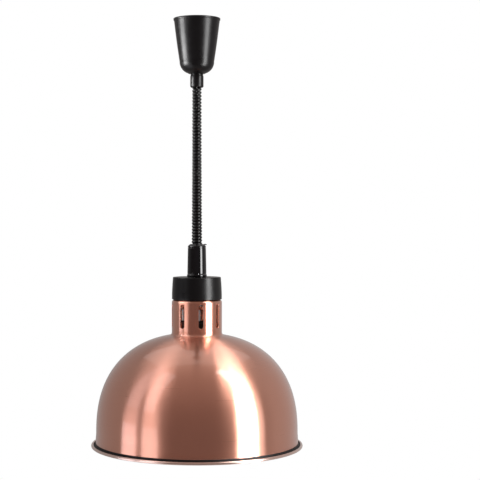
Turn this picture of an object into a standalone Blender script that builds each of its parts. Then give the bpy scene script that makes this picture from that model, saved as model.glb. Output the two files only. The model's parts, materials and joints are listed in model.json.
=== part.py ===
"""A food-warming pendant heat lamp on a spring rise-and-fall suspension.

Everything hangs from the ceiling along one vertical axis. Z is 0 on the ceiling and the
lamp hangs below it, so a depth below the ceiling is a negative Z. Each moving group has
an empty on its joint's axis. All sizes are in metres.
"""

import math

import bmesh
import bpy
from mathutils import Matrix, Vector

GAP = 0.0003  # between pieces that touch
SHEET = 0.001  # spun shade
SMALL = 12  # segments of a small round piece
HOLE = 16  # of a small hole and of what fits in it
ROUND = 20  # of a middle-sized piece
WIDE = 24  # of a wide one, or of a close fit
FINE = 36  # of the shade

# Ceiling end
PLATE_R = 0.0270
PLATE_T = 0.0020
CUP_LIP_R = 0.0316
CUP_TOP_R = 0.0306
CUP_LOW_R = 0.0233
CUP_TAPER_END = 0.0580
CUP_END_ACROSS = 0.0150  # half axes of the cup's rounded end
CUP_END_DOWN = 0.0160
CUP_WALL = 0.0018
CUP_FLOOR = 0.0743
SLEEVE_R = 0.00895
SLEEVE_NECK_R = 0.0069
SLEEVE_BORE_R = 0.0060
SLEEVE_MOUTH_R = 0.0073
SLEEVE_TOP = 0.0612
SLEEVE_END = 0.0928
SPACER_R = 0.0094
NUT_CORNER_R = 0.0086
SCREW_HOLE_R = 0.0018

# Reel
REEL_X = -0.0045
REEL_DEPTH = 0.0270
AXLE_R = 0.0025
DRUM_HUB_R = 0.0150
DRUM_WALL = 0.0016
DRUM_FLANGE_R = 0.0174
DRUM_HALF = 0.0095
DRUM_WEB = 0.0015
ARBOR_R = 0.0046
CABLE_R = 0.00075
WOUND_HALF = 0.0058
SPRING_TURNS = 6
SPRING_STRIP = 0.0005
SPRING_HALF = 0.0074

# Frame of the reel: a bent strip, square to Y
FRAME_T = 0.0015
FRAME_INNER = 0.0105
FRAME_FOOT = 0.0200
FRAME_BACK_X = -0.0120
FRAME_FRONT_X = 0.0100
FRAME_WEB = 0.0670
FOOT_HOLE_Y = 0.0160

# Cord and cable
STRAND_R = 0.0021
COIL_TOP = 0.0932
COIL_END = 0.3050
COIL_TOP_R = 0.00636
COIL_END_R = 0.00710
COIL_GROWTH = 1.5  # the coil widens faster near its lower end
CABLE_END = 0.3218
LEAD_X = 0.0035  # the lead beside the cable in the sleeve
LEAD_LOW_X = 0.0052  # and in the grip tube

# Grip tube
GLAND_TOP = 0.3036
GLAND_FLAT_R = 0.0092
GLAND_BORE_R = 0.0074
GLAND_RIM = 0.3064
TUBE_TOP = 0.3089
TUBE_END = 0.3438
TUBE_TOP_R = 0.0122
TUBE_END_R = 0.01285
TUBE_SHOULDER = 0.3163
TUBE_FLOOR = 0.3398
TUBE_BORE_R = 0.0094
SPIGOT_R = 0.0106
SPIGOT_END = 0.3135
STEM_R = 0.0050
STEM_BORE_R = 0.00275
STEM_TOP = 0.3349
STEM_END = 0.3903
STEM_HOLE_R = STEM_R + GAP
LEAD_END = 0.3915  # of the lead, just below the stem
BASE_RING_R = 0.0134

# Cap
CAP_TOP = 0.3480
CAP_END = 0.3781
CAP_TOP_R = 0.0323
CAP_END_R = 0.0336
CAP_WALL = 0.0024

# Shade
SHADE_TOP = 0.3785
NECK_R = 0.03375
NECK_CORNER_R = 0.0034
NECK_FILLET_R = 0.0042
DOME_A = 0.1353  # half width of the dome's superellipse
DOME_B = 0.1332  # half height
DOME_CENTRE = 0.5568  # depth of its widest place
DOME_POWER = 2.39
RIM_WALL_R = 0.1359
RIM_WALL_END = 0.5665
BEAD_R = 0.0019
BEAD_RING_R = 0.1402
BEAD_DEPTH = 0.5731
SLOTS = 8
SLOT_TURN = math.radians(9.5)  # the first slot, from -Y towards +X
SLOT_WIDTH = 0.0068
SLOT_TOP = 0.3834
SLOT_END = 0.4154

# Lampholder
HOLDER_TOP = 0.3863
HOLDER_R = 0.0225
HOLDER_TOP_R = 0.0140
HOLDER_COVER_END = 0.4058
PUCK_TOP = 0.3970
PUCK_END = 0.4010
SHELL_R = 0.0148
SHELL_BORE_R = 0.0140
BODY_R = 0.0200
BODY_END = 0.4240
TERMINAL_X = 0.0125

# Bulb: a 125 mm reflector lamp with a 27 mm screw cap
BULB_TOP = 0.4025
BULB_R = 0.0625
CAP_THREAD_R = 0.01265
THREAD_DEPTH = 0.0006
THREAD_PITCH = 0.00363
BULB_CAP_TOP = 0.4073
BULB_CAP_END = 0.4280
GLASS_TOP = 0.4190
GLASS_NECK_R = 0.0111
GLASS_WALL = 0.0012
PARABOLA_VERTEX = 0.4320
BULB_WIDEST = 0.5280
BULB_FACE_EDGE = 0.5360
BULB_FACE = 0.5690
FILAMENT_DEPTH = 0.4860
FILAMENT_R = 0.0100


def clear_scene():
    for old in list(bpy.data.objects):
        bpy.data.objects.remove(old, do_unlink=True)


def finish(name, colour, roughness, metallic):
    material = bpy.data.materials.new(name)
    material.use_nodes = True
    shader = material.node_tree.nodes["Principled BSDF"]
    shader.inputs["Base Color"].default_value = (*colour, 1.0)
    shader.inputs["Roughness"].default_value = roughness
    shader.inputs["Metallic"].default_value = metallic
    return material


def joint_empty(name, x, y, depth):
    empty = bpy.data.objects.new(name, None)
    empty.empty_display_size = 0.02
    empty.location = (x, y, -depth)
    bpy.context.collection.objects.link(empty)
    return empty


def add_object(name, data, material, parent=None):
    """Links the data as one named sub-part and hangs it on its joint's empty."""
    piece = bpy.data.objects.new(name, data)
    if material:
        data.materials.append(material)
    bpy.context.collection.objects.link(piece)
    if parent:
        piece.parent = parent
        piece.matrix_parent_inverse = Matrix.Translation(-parent.location)
    return piece


def mesh_from(bm, name, smooth=True):
    bmesh.ops.remove_doubles(bm, verts=bm.verts, dist=1e-6)
    bmesh.ops.recalc_face_normals(bm, faces=bm.faces)
    mesh = bpy.data.meshes.new(name)
    bm.to_mesh(mesh)
    bm.free()
    if smooth:
        mesh.shade_smooth()
        mesh.set_sharp_from_angle(angle=math.radians(35))
    return mesh


def arc(centre_r, centre_depth, across, down, start, end, steps):
    """Points of an elliptical arc. Angle 0 points outwards and 90 degrees points down."""
    angles = [math.radians(start + (end - start) * i / steps) for i in range(steps + 1)]
    return [(centre_r + across * math.cos(a), centre_depth + down * math.sin(a)) for a in angles]


def spun_mesh(name, outline, segments, place=None):
    """Spins an outline of (radius, depth) points about Z. An outline whose two ends lie on
    the axis stays open, and any other is closed."""
    bm = bmesh.new()
    verts = [bm.verts.new((r, 0.0, -depth)) for r, depth in outline]
    for a, b in zip(verts, verts[1:]):
        bm.edges.new((a, b))
    if outline[0][0] > 0 or outline[-1][0] > 0:
        bm.edges.new((verts[-1], verts[0]))
    bmesh.ops.spin(
        bm,
        geom=bm.verts[:] + bm.edges[:],
        cent=(0, 0, 0),
        axis=(0, 0, 1),
        angle=2 * math.pi,
        steps=segments,
        use_merge=True,
    )
    if place:
        bmesh.ops.transform(bm, matrix=place, verts=bm.verts)
    return mesh_from(bm, name)


def turned(name, outline, material, segments=ROUND, parent=None, place=None):
    return add_object(name, spun_mesh(name, outline, segments, place), material, parent)


def ring(inner, outer, top, end):
    """The outline of a plain ring or washer."""
    return [(outer, top), (outer, end), (inner, end), (inner, top)]


def rod(radius, top, end):
    """The outline of a solid cylinder on the axis."""
    return [(0.0, top), (radius, top), (radius, end), (0.0, end)]


def extruded_mesh(name, outline, start, vector, smooth=False):
    """Fills an outline of 3-D points and extrudes it along a vector."""
    bm = bmesh.new()
    face = bm.faces.new([bm.verts.new(Vector(p) + Vector(start)) for p in outline])
    moved = bmesh.ops.extrude_face_region(bm, geom=[face])["geom"]
    bmesh.ops.translate(bm, vec=vector, verts=[v for v in moved if isinstance(v, bmesh.types.BMVert)])
    return mesh_from(bm, name, smooth)


def box(name, low, high, material, parent=None, bevel=0.0):
    bm = bmesh.new()
    bmesh.ops.create_cube(bm, size=1.0)
    size = [b - a for a, b in zip(low, high)]
    middle = [(a + b) / 2 for a, b in zip(low, high)]
    bmesh.ops.scale(bm, vec=size, verts=bm.verts)
    bmesh.ops.translate(bm, vec=middle, verts=bm.verts)
    if bevel:
        bmesh.ops.bevel(bm, geom=bm.edges[:], offset=bevel, segments=1, affect="EDGES")
    return add_object(name, mesh_from(bm, name, smooth=False), material, parent)


def hex_nut(name, top, end, material, parent=None, hole=STEM_HOLE_R, corner=NUT_CORNER_R):
    """A six-sided nut: its hole is round, joined to the hexagon by rings of faces."""
    steps = 18
    bm = bmesh.new()
    rows = []
    for depth in (top, end):
        outer, inner = [], []
        for i in range(steps):
            a = 2 * math.pi * i / steps
            within = (a + math.pi / 6) % (math.pi / 3) - math.pi / 6
            flat = corner * math.cos(math.pi / 6) / math.cos(math.pi / 6 - abs(within))
            outer.append(bm.verts.new((flat * math.cos(a), flat * math.sin(a), -depth)))
            inner.append(bm.verts.new((hole * math.cos(a), hole * math.sin(a), -depth)))
        rows.append((outer, inner))
    (top_out, top_in), (end_out, end_in) = rows
    for i in range(steps):
        j = (i + 1) % steps
        for a, b in ((top_out, end_out), (end_out, end_in), (end_in, top_in), (top_in, top_out)):
            bm.faces.new((a[i], a[j], b[j], b[i]))
    return add_object(name, mesh_from(bm, name, smooth=False), material, parent)


def cut(piece, cutter):
    """Takes the cutter's shape out of a piece."""
    cutter.hide_render = True
    cutter.display_type = "WIRE"
    modifier = piece.modifiers.new("Cut", "BOOLEAN")
    modifier.operation = "DIFFERENCE"
    modifier.solver = "EXACT"
    modifier.object = cutter


def drill(piece, places, radius, top, end, segments=SMALL):
    """Cuts vertical round holes at (x, y) places."""
    for i, (x, y) in enumerate(places):
        place = Matrix.Translation((x, y, 0))
        name = f"cut_{piece.name}_{i + 1}"
        mesh = spun_mesh(name, rod(radius, top, end), segments, place)
        cut(piece, add_object(name, mesh, None))


def smooth_route(points, steps):
    """A smooth curve through a cord's own points, with a few steps to each span."""
    padded = [points[0], *points, points[-1]]
    line = []
    for a, b, c, d in zip(padded, padded[1:], padded[2:], padded[3:]):
        a, b, c, d = Vector(a), Vector(b), Vector(c), Vector(d)
        for i in range(steps):
            t = i / steps
            bend = (2 * a - 5 * b + 4 * c - d) * t**2 + (3 * b - a - 3 * c + d) * t**3
            line.append((2 * b + (c - a) * t + bend) / 2)
    return [*line, Vector(points[-1])]


def tube(name, line, radius, material, parent=None, resolution=2):
    curve = bpy.data.curves.new(name, "CURVE")
    curve.dimensions = "3D"
    curve.bevel_depth = radius
    curve.bevel_resolution = resolution
    curve.use_fill_caps = True
    spline = curve.splines.new("POLY")
    spline.points.add(len(line) - 1)
    for point, place in zip(spline.points, line):
        point.co = (*place, 1.0)
    return add_object(name, curve, material, parent)


def under(points):
    """Turns (x, y, depth) points into places."""
    return [(x, y, -depth) for x, y, depth in points]


def along_y(x, depth):
    """Turns a piece spun about Z so that its axis is along Y, at the reel's axle."""
    return Matrix.Translation((x, 0, -depth)) @ Matrix.Rotation(math.radians(90), 4, "X")


def offset(path, distance):
    """The path moved sideways, to the right of its direction in (radius, depth)."""
    moved = []
    for i, point in enumerate(path):
        a, b = path[max(i - 1, 0)], path[min(i + 1, len(path) - 1)]
        dr, dd = b[0] - a[0], b[1] - a[1]
        length = math.hypot(dr, dd)
        moved.append((point[0] - distance * dd / length, point[1] + distance * dr / length))
    return moved


# ---------------------------------------------------------------- ceiling end


def make_ceiling_plate(steel):
    plate = turned("ceiling_plate", rod(PLATE_R, 0.0, PLATE_T), steel)
    fixing_x, fixing_r = 0.0190, 0.0023
    drill(plate, [(-fixing_x, 0), (fixing_x, 0)], fixing_r, -PLATE_T, 2 * PLATE_T)
    drill(plate, [(0, -FOOT_HOLE_Y), (0, FOOT_HOLE_Y)], SCREW_HOLE_R, -PLATE_T, 2 * PLATE_T)


def make_ceiling_cup(plastic):
    end_r = CUP_LOW_R - CUP_END_ACROSS
    collar_r, collar_t, collar_edge = end_r + 0.0030, 0.0006, 0.0002
    bore = SLEEVE_NECK_R + GAP
    lip_t, lip_end = 0.0020, 0.0032
    outer = [(CUP_LIP_R, 0.0), (CUP_LIP_R, lip_t), (CUP_TOP_R, lip_end)]
    outer += arc(end_r, CUP_TAPER_END, CUP_END_ACROSS, CUP_END_DOWN, 0, 74, 4)
    outer += [(collar_r, CUP_FLOOR - collar_t), (collar_r - collar_edge, CUP_FLOOR), (bore, CUP_FLOOR)]
    inner = arc(end_r, CUP_TAPER_END, CUP_END_ACROSS - CUP_WALL, CUP_END_DOWN - CUP_WALL, 84, 0, 3)
    inner = [(bore, inner[0][1]), *inner, (CUP_TOP_R - CUP_WALL, lip_end), (CUP_TOP_R - CUP_WALL, 0.0)]
    turned("ceiling_cup", outer + inner, plastic)


def make_reel_frame(steel):
    """A strip bent into feet, two cheeks and a web, with the reel's axle across the cheeks."""
    inner, outer = FRAME_INNER, FRAME_INNER + FRAME_T
    top = PLATE_T + GAP
    half = [
        (FRAME_FOOT, top),
        (FRAME_FOOT, top + FRAME_T),
        (outer, top + FRAME_T),
        (outer, FRAME_WEB),
    ]
    inside = [(inner, FRAME_WEB - FRAME_T), (inner, top)]
    mirrored = [(-y, depth) for y, depth in reversed(half)]
    inside_mirrored = [(-y, depth) for y, depth in reversed(inside)]
    outline = half + mirrored + inside_mirrored + inside
    points = [(0, y, -depth) for y, depth in outline]
    mesh = extruded_mesh(
        "reel_frame", points, (FRAME_BACK_X, 0, 0), (FRAME_FRONT_X - FRAME_BACK_X, 0, 0)
    )
    frame = add_object("reel_frame", mesh, steel)
    axle_hole = spun_mesh(
        "cut_axle_hole", rod(AXLE_R + GAP, -FRAME_FOOT, FRAME_FOOT), SMALL, along_y(REEL_X, REEL_DEPTH)
    )
    cut(frame, add_object("cut_axle_hole", axle_hole, None))
    drill(frame, [(0, 0)], SLEEVE_NECK_R + GAP, FRAME_WEB - 2 * FRAME_T, FRAME_WEB + FRAME_T)
    drill(frame, [(0, -FOOT_HOLE_Y), (0, FOOT_HOLE_Y)], SCREW_HOLE_R, PLATE_T, top + 2 * FRAME_T)


def make_frame_screws(steel):
    seat = PLATE_T + 2 * GAP + FRAME_T
    shank_r, head_r, head_t, tip = 0.0015, 0.0029, 0.0018, 0.0005
    head_end = seat + head_t
    outline = [(0, tip), (shank_r, tip), (shank_r, seat), (head_r, seat), (head_r, head_end), (0, head_end)]
    for i, y in enumerate((-FOOT_HOLE_Y, FOOT_HOLE_Y)):
        place = Matrix.Translation((0, y, 0))
        turned(f"frame_screw_{i + 1}", outline, steel, SMALL, place=place)


def make_exit_sleeve(plastic):
    shoulder = CUP_FLOOR + GAP
    round_r, mouth_t, mouth_cone = 0.0013, 0.0050, 0.0010
    outline = [(SLEEVE_NECK_R, SLEEVE_TOP), (SLEEVE_NECK_R, shoulder), (SLEEVE_R, shoulder)]
    outline += arc(SLEEVE_R - round_r, SLEEVE_END - round_r, round_r, round_r, 0, 90, 2)
    outline += [(SLEEVE_MOUTH_R, SLEEVE_END), (SLEEVE_MOUTH_R, SLEEVE_END - mouth_t)]
    outline += [(SLEEVE_BORE_R, SLEEVE_END - mouth_t - mouth_cone), (SLEEVE_BORE_R, SLEEVE_TOP)]
    turned("exit_sleeve", outline, plastic)
    bore = SLEEVE_NECK_R + GAP
    floor_top = CUP_TAPER_END + CUP_END_DOWN - CUP_WALL
    turned("sleeve_spacer", ring(bore, SPACER_R, FRAME_WEB + GAP, floor_top - 2 * GAP), plastic)


def make_cable_guide(nylon):
    """A disc in the top of the sleeve that centres the cable and lets the lead past."""
    guide_t, guide_top = 0.0030, SLEEVE_TOP + 2 * GAP
    disc = turned("cable_guide", rod(SLEEVE_BORE_R - GAP, guide_top, guide_top + guide_t), nylon, WIDE)
    top, end = guide_top - guide_t, guide_top + 2 * guide_t
    drill(disc, [(0, 0)], CABLE_R + GAP, top, end)
    drill(disc, [(LEAD_X, 0)], STRAND_R + GAP, top, end, WIDE)


def make_terminal_block(plastic, brass):
    """Three poles in a row, clipped to the outside of the frame's cheek."""
    pole_x, edge = 0.0070, 0.0005
    low = (-0.0110, FRAME_INNER + FRAME_T + 2 * GAP, -0.0180)
    high = (0.0110, 0.0216, -0.0080)
    block = box("terminal_block", low, high, plastic, bevel=edge)
    screw_r, screw_depth, screw_z = 0.0016, 0.0026, -0.0120
    for i, x in enumerate((-pole_x, 0.0, pole_x)):
        hole = Matrix.Translation((x, high[1], screw_z)) @ Matrix.Rotation(math.radians(90), 4, "X")
        name = f"cut_terminal_{i + 1}"
        mesh = spun_mesh(name, rod(screw_r + GAP, -screw_depth, screw_depth), HOLE, hole)
        cut(block, add_object(name, mesh, None))
        mesh = spun_mesh("terminal_screw", rod(screw_r, -screw_depth + GAP, -2 * GAP), SMALL, hole)
        add_object(f"terminal_screw_{i + 1}", mesh, brass)


def make_ceiling_cords(rubber, steel):
    """The lead from the terminal block to the sleeve, and the cable from drum to sleeve."""
    x = LEAD_X
    route = [
        (0.0066, 0.0171, 0.0187),
        (0.0072, 0.0171, 0.0230),
        (0.0098, 0.0165, 0.0280),
        (0.0130, 0.0142, 0.0345),
        (0.0136, 0.0090, 0.0430),
        (0.0104, 0.0042, 0.0500),
        (0.0056, 0.0010, 0.0560),
        (x, 0.0, 0.0610),
        (x, 0.0, 0.0650),
        (x, 0.0, 0.0780),
        (x, 0.0, SLEEVE_END - 2 * GAP),
    ]
    tube("supply_lead", smooth_route(under(route), 2), STRAND_R, rubber)
    wound_r = DRUM_HUB_R + GAP + CABLE_R
    leave_y, guide = 0.0050, SLEEVE_TOP
    across, down = -REEL_X, guide - REEL_DEPTH
    reach = math.hypot(across, down)
    lean = math.atan2(across, down)
    touch = math.asin(wound_r / reach)
    leave = (
        REEL_X + wound_r * math.cos(touch - lean),
        leave_y,
        REEL_DEPTH + wound_r * math.sin(touch - lean),
    )
    start = 0.30  # how far down the run the cable is clear of the winding
    clear = tuple(a + (b - a) * start for a, b in zip(leave, (0.0, 0.0, guide)))
    line = under([clear, (0.0, 0.0, guide), (0.0, 0.0, SLEEVE_END - 2 * GAP)])
    tube("cable_run", line, CABLE_R, steel)


# ---------------------------------------------------------------------- reel


def make_reel(ceiling_steel, plastic, spring_steel, cable_steel, reel):
    place = along_y(REEL_X, REEL_DEPTH)
    cheek = FRAME_INNER + FRAME_T + GAP
    head_r, head_t, past = 0.0040, 0.0018, 0.0012
    axle = [
        (0, -cheek - head_t),
        (head_r, -cheek - head_t),
        (head_r, -cheek),
        (AXLE_R, -cheek),
        (AXLE_R, cheek + past),
        (0, cheek + past),
    ]
    turned("reel_axle", axle, ceiling_steel, SMALL, place=place)
    clip_r, clip_t = 0.0045, 0.0008
    clip = ring(AXLE_R + GAP, clip_r, cheek, cheek + clip_t)
    turned("axle_clip", clip, ceiling_steel, SMALL, place=place)
    arbor = ring(AXLE_R + GAP, ARBOR_R, -SPRING_HALF, FRAME_INNER - GAP)
    turned("spring_arbor", arbor, ceiling_steel, SMALL, place=place)

    inner_r = DRUM_HUB_R - DRUM_WALL
    web_end = DRUM_HALF - DRUM_WEB
    drum = [
        (AXLE_R + GAP, -DRUM_HALF),
        (DRUM_FLANGE_R, -DRUM_HALF),
        (DRUM_FLANGE_R, -web_end),
        (DRUM_HUB_R, -web_end),
        (DRUM_HUB_R, web_end),
        (DRUM_FLANGE_R, web_end),
        (DRUM_FLANGE_R, DRUM_HALF),
        (inner_r, DRUM_HALF),
        (inner_r, -web_end),
        (AXLE_R + GAP, -web_end),
    ]
    turned("reel_drum", drum, plastic, ROUND, reel, place)
    cover = ring(ARBOR_R + GAP, inner_r - GAP, web_end, DRUM_HALF)
    turned("drum_cover", cover, plastic, ROUND, reel, place)
    wound = ring(DRUM_HUB_R + GAP, DRUM_HUB_R + GAP + 2 * CABLE_R, -WOUND_HALF, WOUND_HALF)
    turned("cable_winding", wound, cable_steel, ROUND, reel, place)
    add_object("power_spring", spring_mesh(place), spring_steel, reel)


def spring_mesh(place):
    """A flat strip wound in a spiral inside the drum."""
    low = ARBOR_R + 2 * GAP + SPRING_STRIP / 2
    high = DRUM_HUB_R - DRUM_WALL - GAP - SPRING_STRIP / 2
    per_turn = 14
    count = SPRING_TURNS * per_turn
    bm = bmesh.new()
    rows = []
    for i in range(count + 1):
        angle = 2 * math.pi * i / per_turn
        middle = low + (high - low) * i / count
        sides = (middle - SPRING_STRIP / 2, middle + SPRING_STRIP / 2)
        corners = [(r, y) for y in (-SPRING_HALF, SPRING_HALF) for r in sides]
        corners = [corners[0], corners[1], corners[3], corners[2]]
        rows.append(
            [bm.verts.new((r * math.cos(angle), r * math.sin(angle), -y)) for r, y in corners]
        )
    for a, b in zip(rows, rows[1:]):
        for i in range(4):
            j = (i + 1) % 4
            bm.faces.new((a[i], a[j], b[j], b[i]))
    bm.faces.new(rows[0])
    bm.faces.new(rows[-1])
    bmesh.ops.transform(bm, matrix=place, verts=bm.verts)
    return mesh_from(bm, "power_spring")


# ------------------------------------------------------------ cord and cable


def make_cord(rubber, steel, swing):
    """The curly cord's outer shape, with the lifting cable down its middle."""
    rows = 4
    outer = []
    for i in range(rows + 1):
        share = i / rows
        radius = COIL_TOP_R + (COIL_END_R - COIL_TOP_R) * share**COIL_GROWTH
        outer.append((radius, COIL_TOP + (COIL_END - COIL_TOP) * share))
    inner = [(r - 2 * STRAND_R, depth) for r, depth in reversed(outer)]
    turned("curly_cord", outer + inner, rubber, ROUND, swing)
    turned("suspension_cable", rod(CABLE_R, COIL_TOP, CABLE_END), steel, SMALL, swing)


# ------------------------------------------------------------------ grip tube


def make_grip(gloss, steel, brass, lamp):
    seat = GLAND_TOP + 0.0017
    gland = [
        (GLAND_FLAT_R, GLAND_TOP),
        (TUBE_TOP_R, GLAND_RIM),
        (TUBE_TOP_R, TUBE_TOP - GAP),
        (SPIGOT_R, TUBE_TOP - GAP),
        (SPIGOT_R, SPIGOT_END),
        (GLAND_BORE_R, SPIGOT_END),
        (GLAND_BORE_R, GLAND_TOP),
    ]
    gland_piece = turned("cord_gland", gland, gloss, ROUND, lamp)
    # The screw's head stands in a spot face that breaks the chamfer.
    screw_x, head_r, head_t, head_edge = 0.0112, 0.0022, 0.0016, 0.0006
    drill(gland_piece, [(screw_x, 0)], head_r + GAP, GLAND_TOP - head_t, seat, HOLE)
    head_end = seat - GAP
    head_top = head_end - head_t
    screw = [
        (0, head_top),
        (head_r - head_edge, head_top),
        (head_r, head_top + head_edge),
        (head_r, head_end),
        (0, head_end),
    ]
    place = Matrix.Translation((screw_x, 0, 0))
    turned("gland_screw", screw, steel, HOLE, lamp, place)

    tube_wall = [
        (TUBE_TOP_R, TUBE_TOP),
        (TUBE_END_R, TUBE_END),
        (STEM_HOLE_R, TUBE_END),
        (STEM_HOLE_R, TUBE_FLOOR),
        (TUBE_BORE_R, TUBE_FLOOR),
        (TUBE_BORE_R, TUBE_SHOULDER),
        (SPIGOT_R + GAP, TUBE_SHOULDER),
        (SPIGOT_R + GAP, TUBE_TOP),
    ]
    turned("grip_tube", tube_wall, gloss, ROUND, lamp)

    disc = turned("anchor_disc", rod(SPIGOT_R, SPIGOT_END + GAP, TUBE_SHOULDER - GAP), steel, parent=lamp)
    drill(disc, [(0, 0)], CABLE_R + GAP, SPIGOT_END, TUBE_SHOULDER)
    drill(disc, [(LEAD_LOW_X, 0)], STRAND_R + GAP, SPIGOT_END, TUBE_SHOULDER, HOLE)
    ferrule_r = 0.0021
    turned("cable_ferrule", ring(CABLE_R + GAP, ferrule_r, TUBE_SHOULDER, CABLE_END), brass, HOLE, lamp)

    hex_nut("tube_nut", STEM_TOP + GAP, TUBE_FLOOR - GAP, steel, lamp)
    edge = 0.0014
    base_top, base_end = TUBE_END + GAP, CAP_TOP - GAP
    base = [(STEM_HOLE_R, base_top)]
    base += arc(BASE_RING_R - edge, base_top + edge, edge, edge, -90, 0, 2)
    base += arc(BASE_RING_R - edge, base_end - edge, edge, edge, 0, 90, 2)
    base += [(STEM_HOLE_R, base_end)]
    turned("base_ring", base, gloss, ROUND, lamp)


def make_stem_and_nuts(steel, rubber, lamp):
    turned("hollow_stem", ring(STEM_BORE_R, STEM_R, STEM_TOP, STEM_END), steel, parent=lamp)
    nut_top, nut_t = CAP_TOP + CAP_WALL + GAP, 0.0040
    hex_nut("cap_nut", nut_top, nut_top + nut_t, steel, lamp)
    low = LEAD_LOW_X
    route = [
        (low - 0.0002, 0, COIL_END + GAP),
        (low, 0, 0.3120),
        (low, 0, 0.3215),
        (0.0038, 0, 0.3262),
        (0.0012, 0, 0.3312),
        (0, 0, 0.3352),
        (0, 0, 0.3500),
        (0, 0, 0.3700),
        (0, 0, LEAD_END),
    ]
    tube("lamp_lead", smooth_route(under(route), 2), STRAND_R, rubber, lamp)


# ------------------------------------------------------------- cap and shade


def make_top_cap(plastic, lamp):
    edge, low_edge, flare = 0.0010, 0.0030, 3
    outer = [(STEM_HOLE_R, CAP_TOP), (CAP_TOP_R - edge, CAP_TOP)]
    for i in range(flare + 1):
        share = i / flare
        radius = CAP_TOP_R + (CAP_END_R - CAP_TOP_R) * math.sin(share * math.pi / 2)
        outer.append((radius, CAP_TOP + edge + (CAP_END - low_edge - CAP_TOP) * share))
    outer += [(CAP_END_R - edge / 4, CAP_END - edge), (CAP_END_R - edge, CAP_END)]
    inner = [(CAP_END_R - CAP_WALL, CAP_END), (CAP_TOP_R - CAP_WALL, CAP_TOP + CAP_WALL)]
    inner += [(STEM_HOLE_R, CAP_TOP + CAP_WALL)]
    turned("top_cap", outer + inner, plastic, WIDE, lamp)


def dome_point(angle):
    """A point of the dome's superellipse: 0 at its widest place, a quarter turn at its top."""
    power = 2 / DOME_POWER
    return (
        DOME_A * math.cos(angle) ** power,
        DOME_CENTRE - DOME_B * math.sin(angle) ** power,
    )


def dome_normal(angle):
    """The direction square to the dome there, outwards and up."""
    step = 1e-4
    (r0, d0), (r1, d1) = dome_point(angle - step), dome_point(angle + step)
    length = math.hypot(r1 - r0, d1 - d0)
    return -(d1 - d0) / length, (r1 - r0) / length


def fillet_angle():
    """Where a fillet between neck and dome touches the dome, found by halving."""
    low, high = 0.8, math.pi / 2 - 0.01
    for _ in range(50):
        middle = (low + high) / 2
        radius = dome_point(middle)[0] + NECK_FILLET_R * dome_normal(middle)[0]
        if radius > NECK_R + NECK_FILLET_R:
            low = middle
        else:
            high = middle
    return (low + high) / 2


def shade_path():
    """The shade's outer line, from the stem hole over neck and dome to the rim."""
    path = [(STEM_HOLE_R, SHADE_TOP)]
    corner_r = NECK_R - NECK_CORNER_R
    path += arc(corner_r, SHADE_TOP + NECK_CORNER_R, NECK_CORNER_R, NECK_CORNER_R, -90, 0, 3)
    touch = fillet_angle()
    (r, depth), (nr, nd) = dome_point(touch), dome_normal(touch)
    centre = (r + NECK_FILLET_R * nr, depth + NECK_FILLET_R * nd)
    end = math.degrees(math.atan2(-nd, -nr))
    path += arc(*centre, NECK_FILLET_R, NECK_FILLET_R, 180, end, 3)
    steps = 10
    path += [dome_point(touch * (1 - i / steps)) for i in range(1, steps + 1)]
    path += [(RIM_WALL_R, RIM_WALL_END)]
    return path


def make_shade(copper, lamp):
    outer = shade_path()
    inner = offset(outer, SHEET)
    bead = arc(BEAD_RING_R, BEAD_DEPTH, BEAD_R, BEAD_R, -105, 190, 7)
    inner[0] = (STEM_HOLE_R, SHADE_TOP + SHEET)
    shade = turned("shade", outer + bead + inner[::-1], copper, FINE, lamp)

    half = SLOT_WIDTH / 2
    shape = [(half * math.cos(a), half * math.sin(a)) for a in (math.radians(30 * i) for i in range(7))]
    top = [(x, 0, -(SLOT_TOP + half) + y) for x, y in shape]
    end = [(x, 0, -(SLOT_END - half) - y) for x, y in reversed(shape)]
    outline = top + end
    bm = bmesh.new()
    for i in range(SLOTS):
        turn = Matrix.Rotation(SLOT_TURN + i * 2 * math.pi / SLOTS, 4, "Z")
        near, far = (
            [bm.verts.new(turn @ (Vector(p) + Vector((0, -r, 0)))) for p in outline]
            for r in (NECK_R - SLOT_WIDTH, NECK_R + SLOT_WIDTH)
        )
        for j in range(len(outline)):
            k = (j + 1) % len(outline)
            bm.faces.new((near[j], near[k], far[k], far[j]))
        bm.faces.new(near)
        bm.faces.new(far)
    cut(shade, add_object("cut_slots", mesh_from(bm, "cut_slots", smooth=False), None))


def make_shade_fixings(steel, brass, lamp):
    inside = SHADE_TOP + SHEET
    tag_t, tag_r, tab_end, tab_half = 0.0008, 0.0082, 0.0150, 0.0030
    start = math.asin(tab_half / tag_r)
    sweep = 2 * (math.pi - start)
    steps = 12
    outline = [(tab_end, -tab_half), (tab_end, tab_half)]
    for i in range(steps + 1):
        angle = start + sweep * i / steps
        outline.append((tag_r * math.cos(angle), tag_r * math.sin(angle)))
    points = [(x, y, -(inside + GAP)) for x, y in outline]
    mesh = extruded_mesh("earth_tag", points, (0, 0, 0), (0, 0, -tag_t))
    tag = add_object("earth_tag", mesh, brass, lamp)
    drill(tag, [(0, 0)], STEM_HOLE_R, inside - tag_t, inside + 3 * tag_t)
    washer_top, washer_t, washer_r = inside + 2 * GAP + tag_t, 0.0012, 0.0105
    washer = ring(STEM_HOLE_R, washer_r, washer_top, washer_top + washer_t)
    turned("shade_washer", washer, steel, parent=lamp)
    hex_nut("shade_nut", washer_top + washer_t + GAP, HOLDER_TOP - GAP, steel, lamp)


# ------------------------------------------------------------------ lampholder


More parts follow.
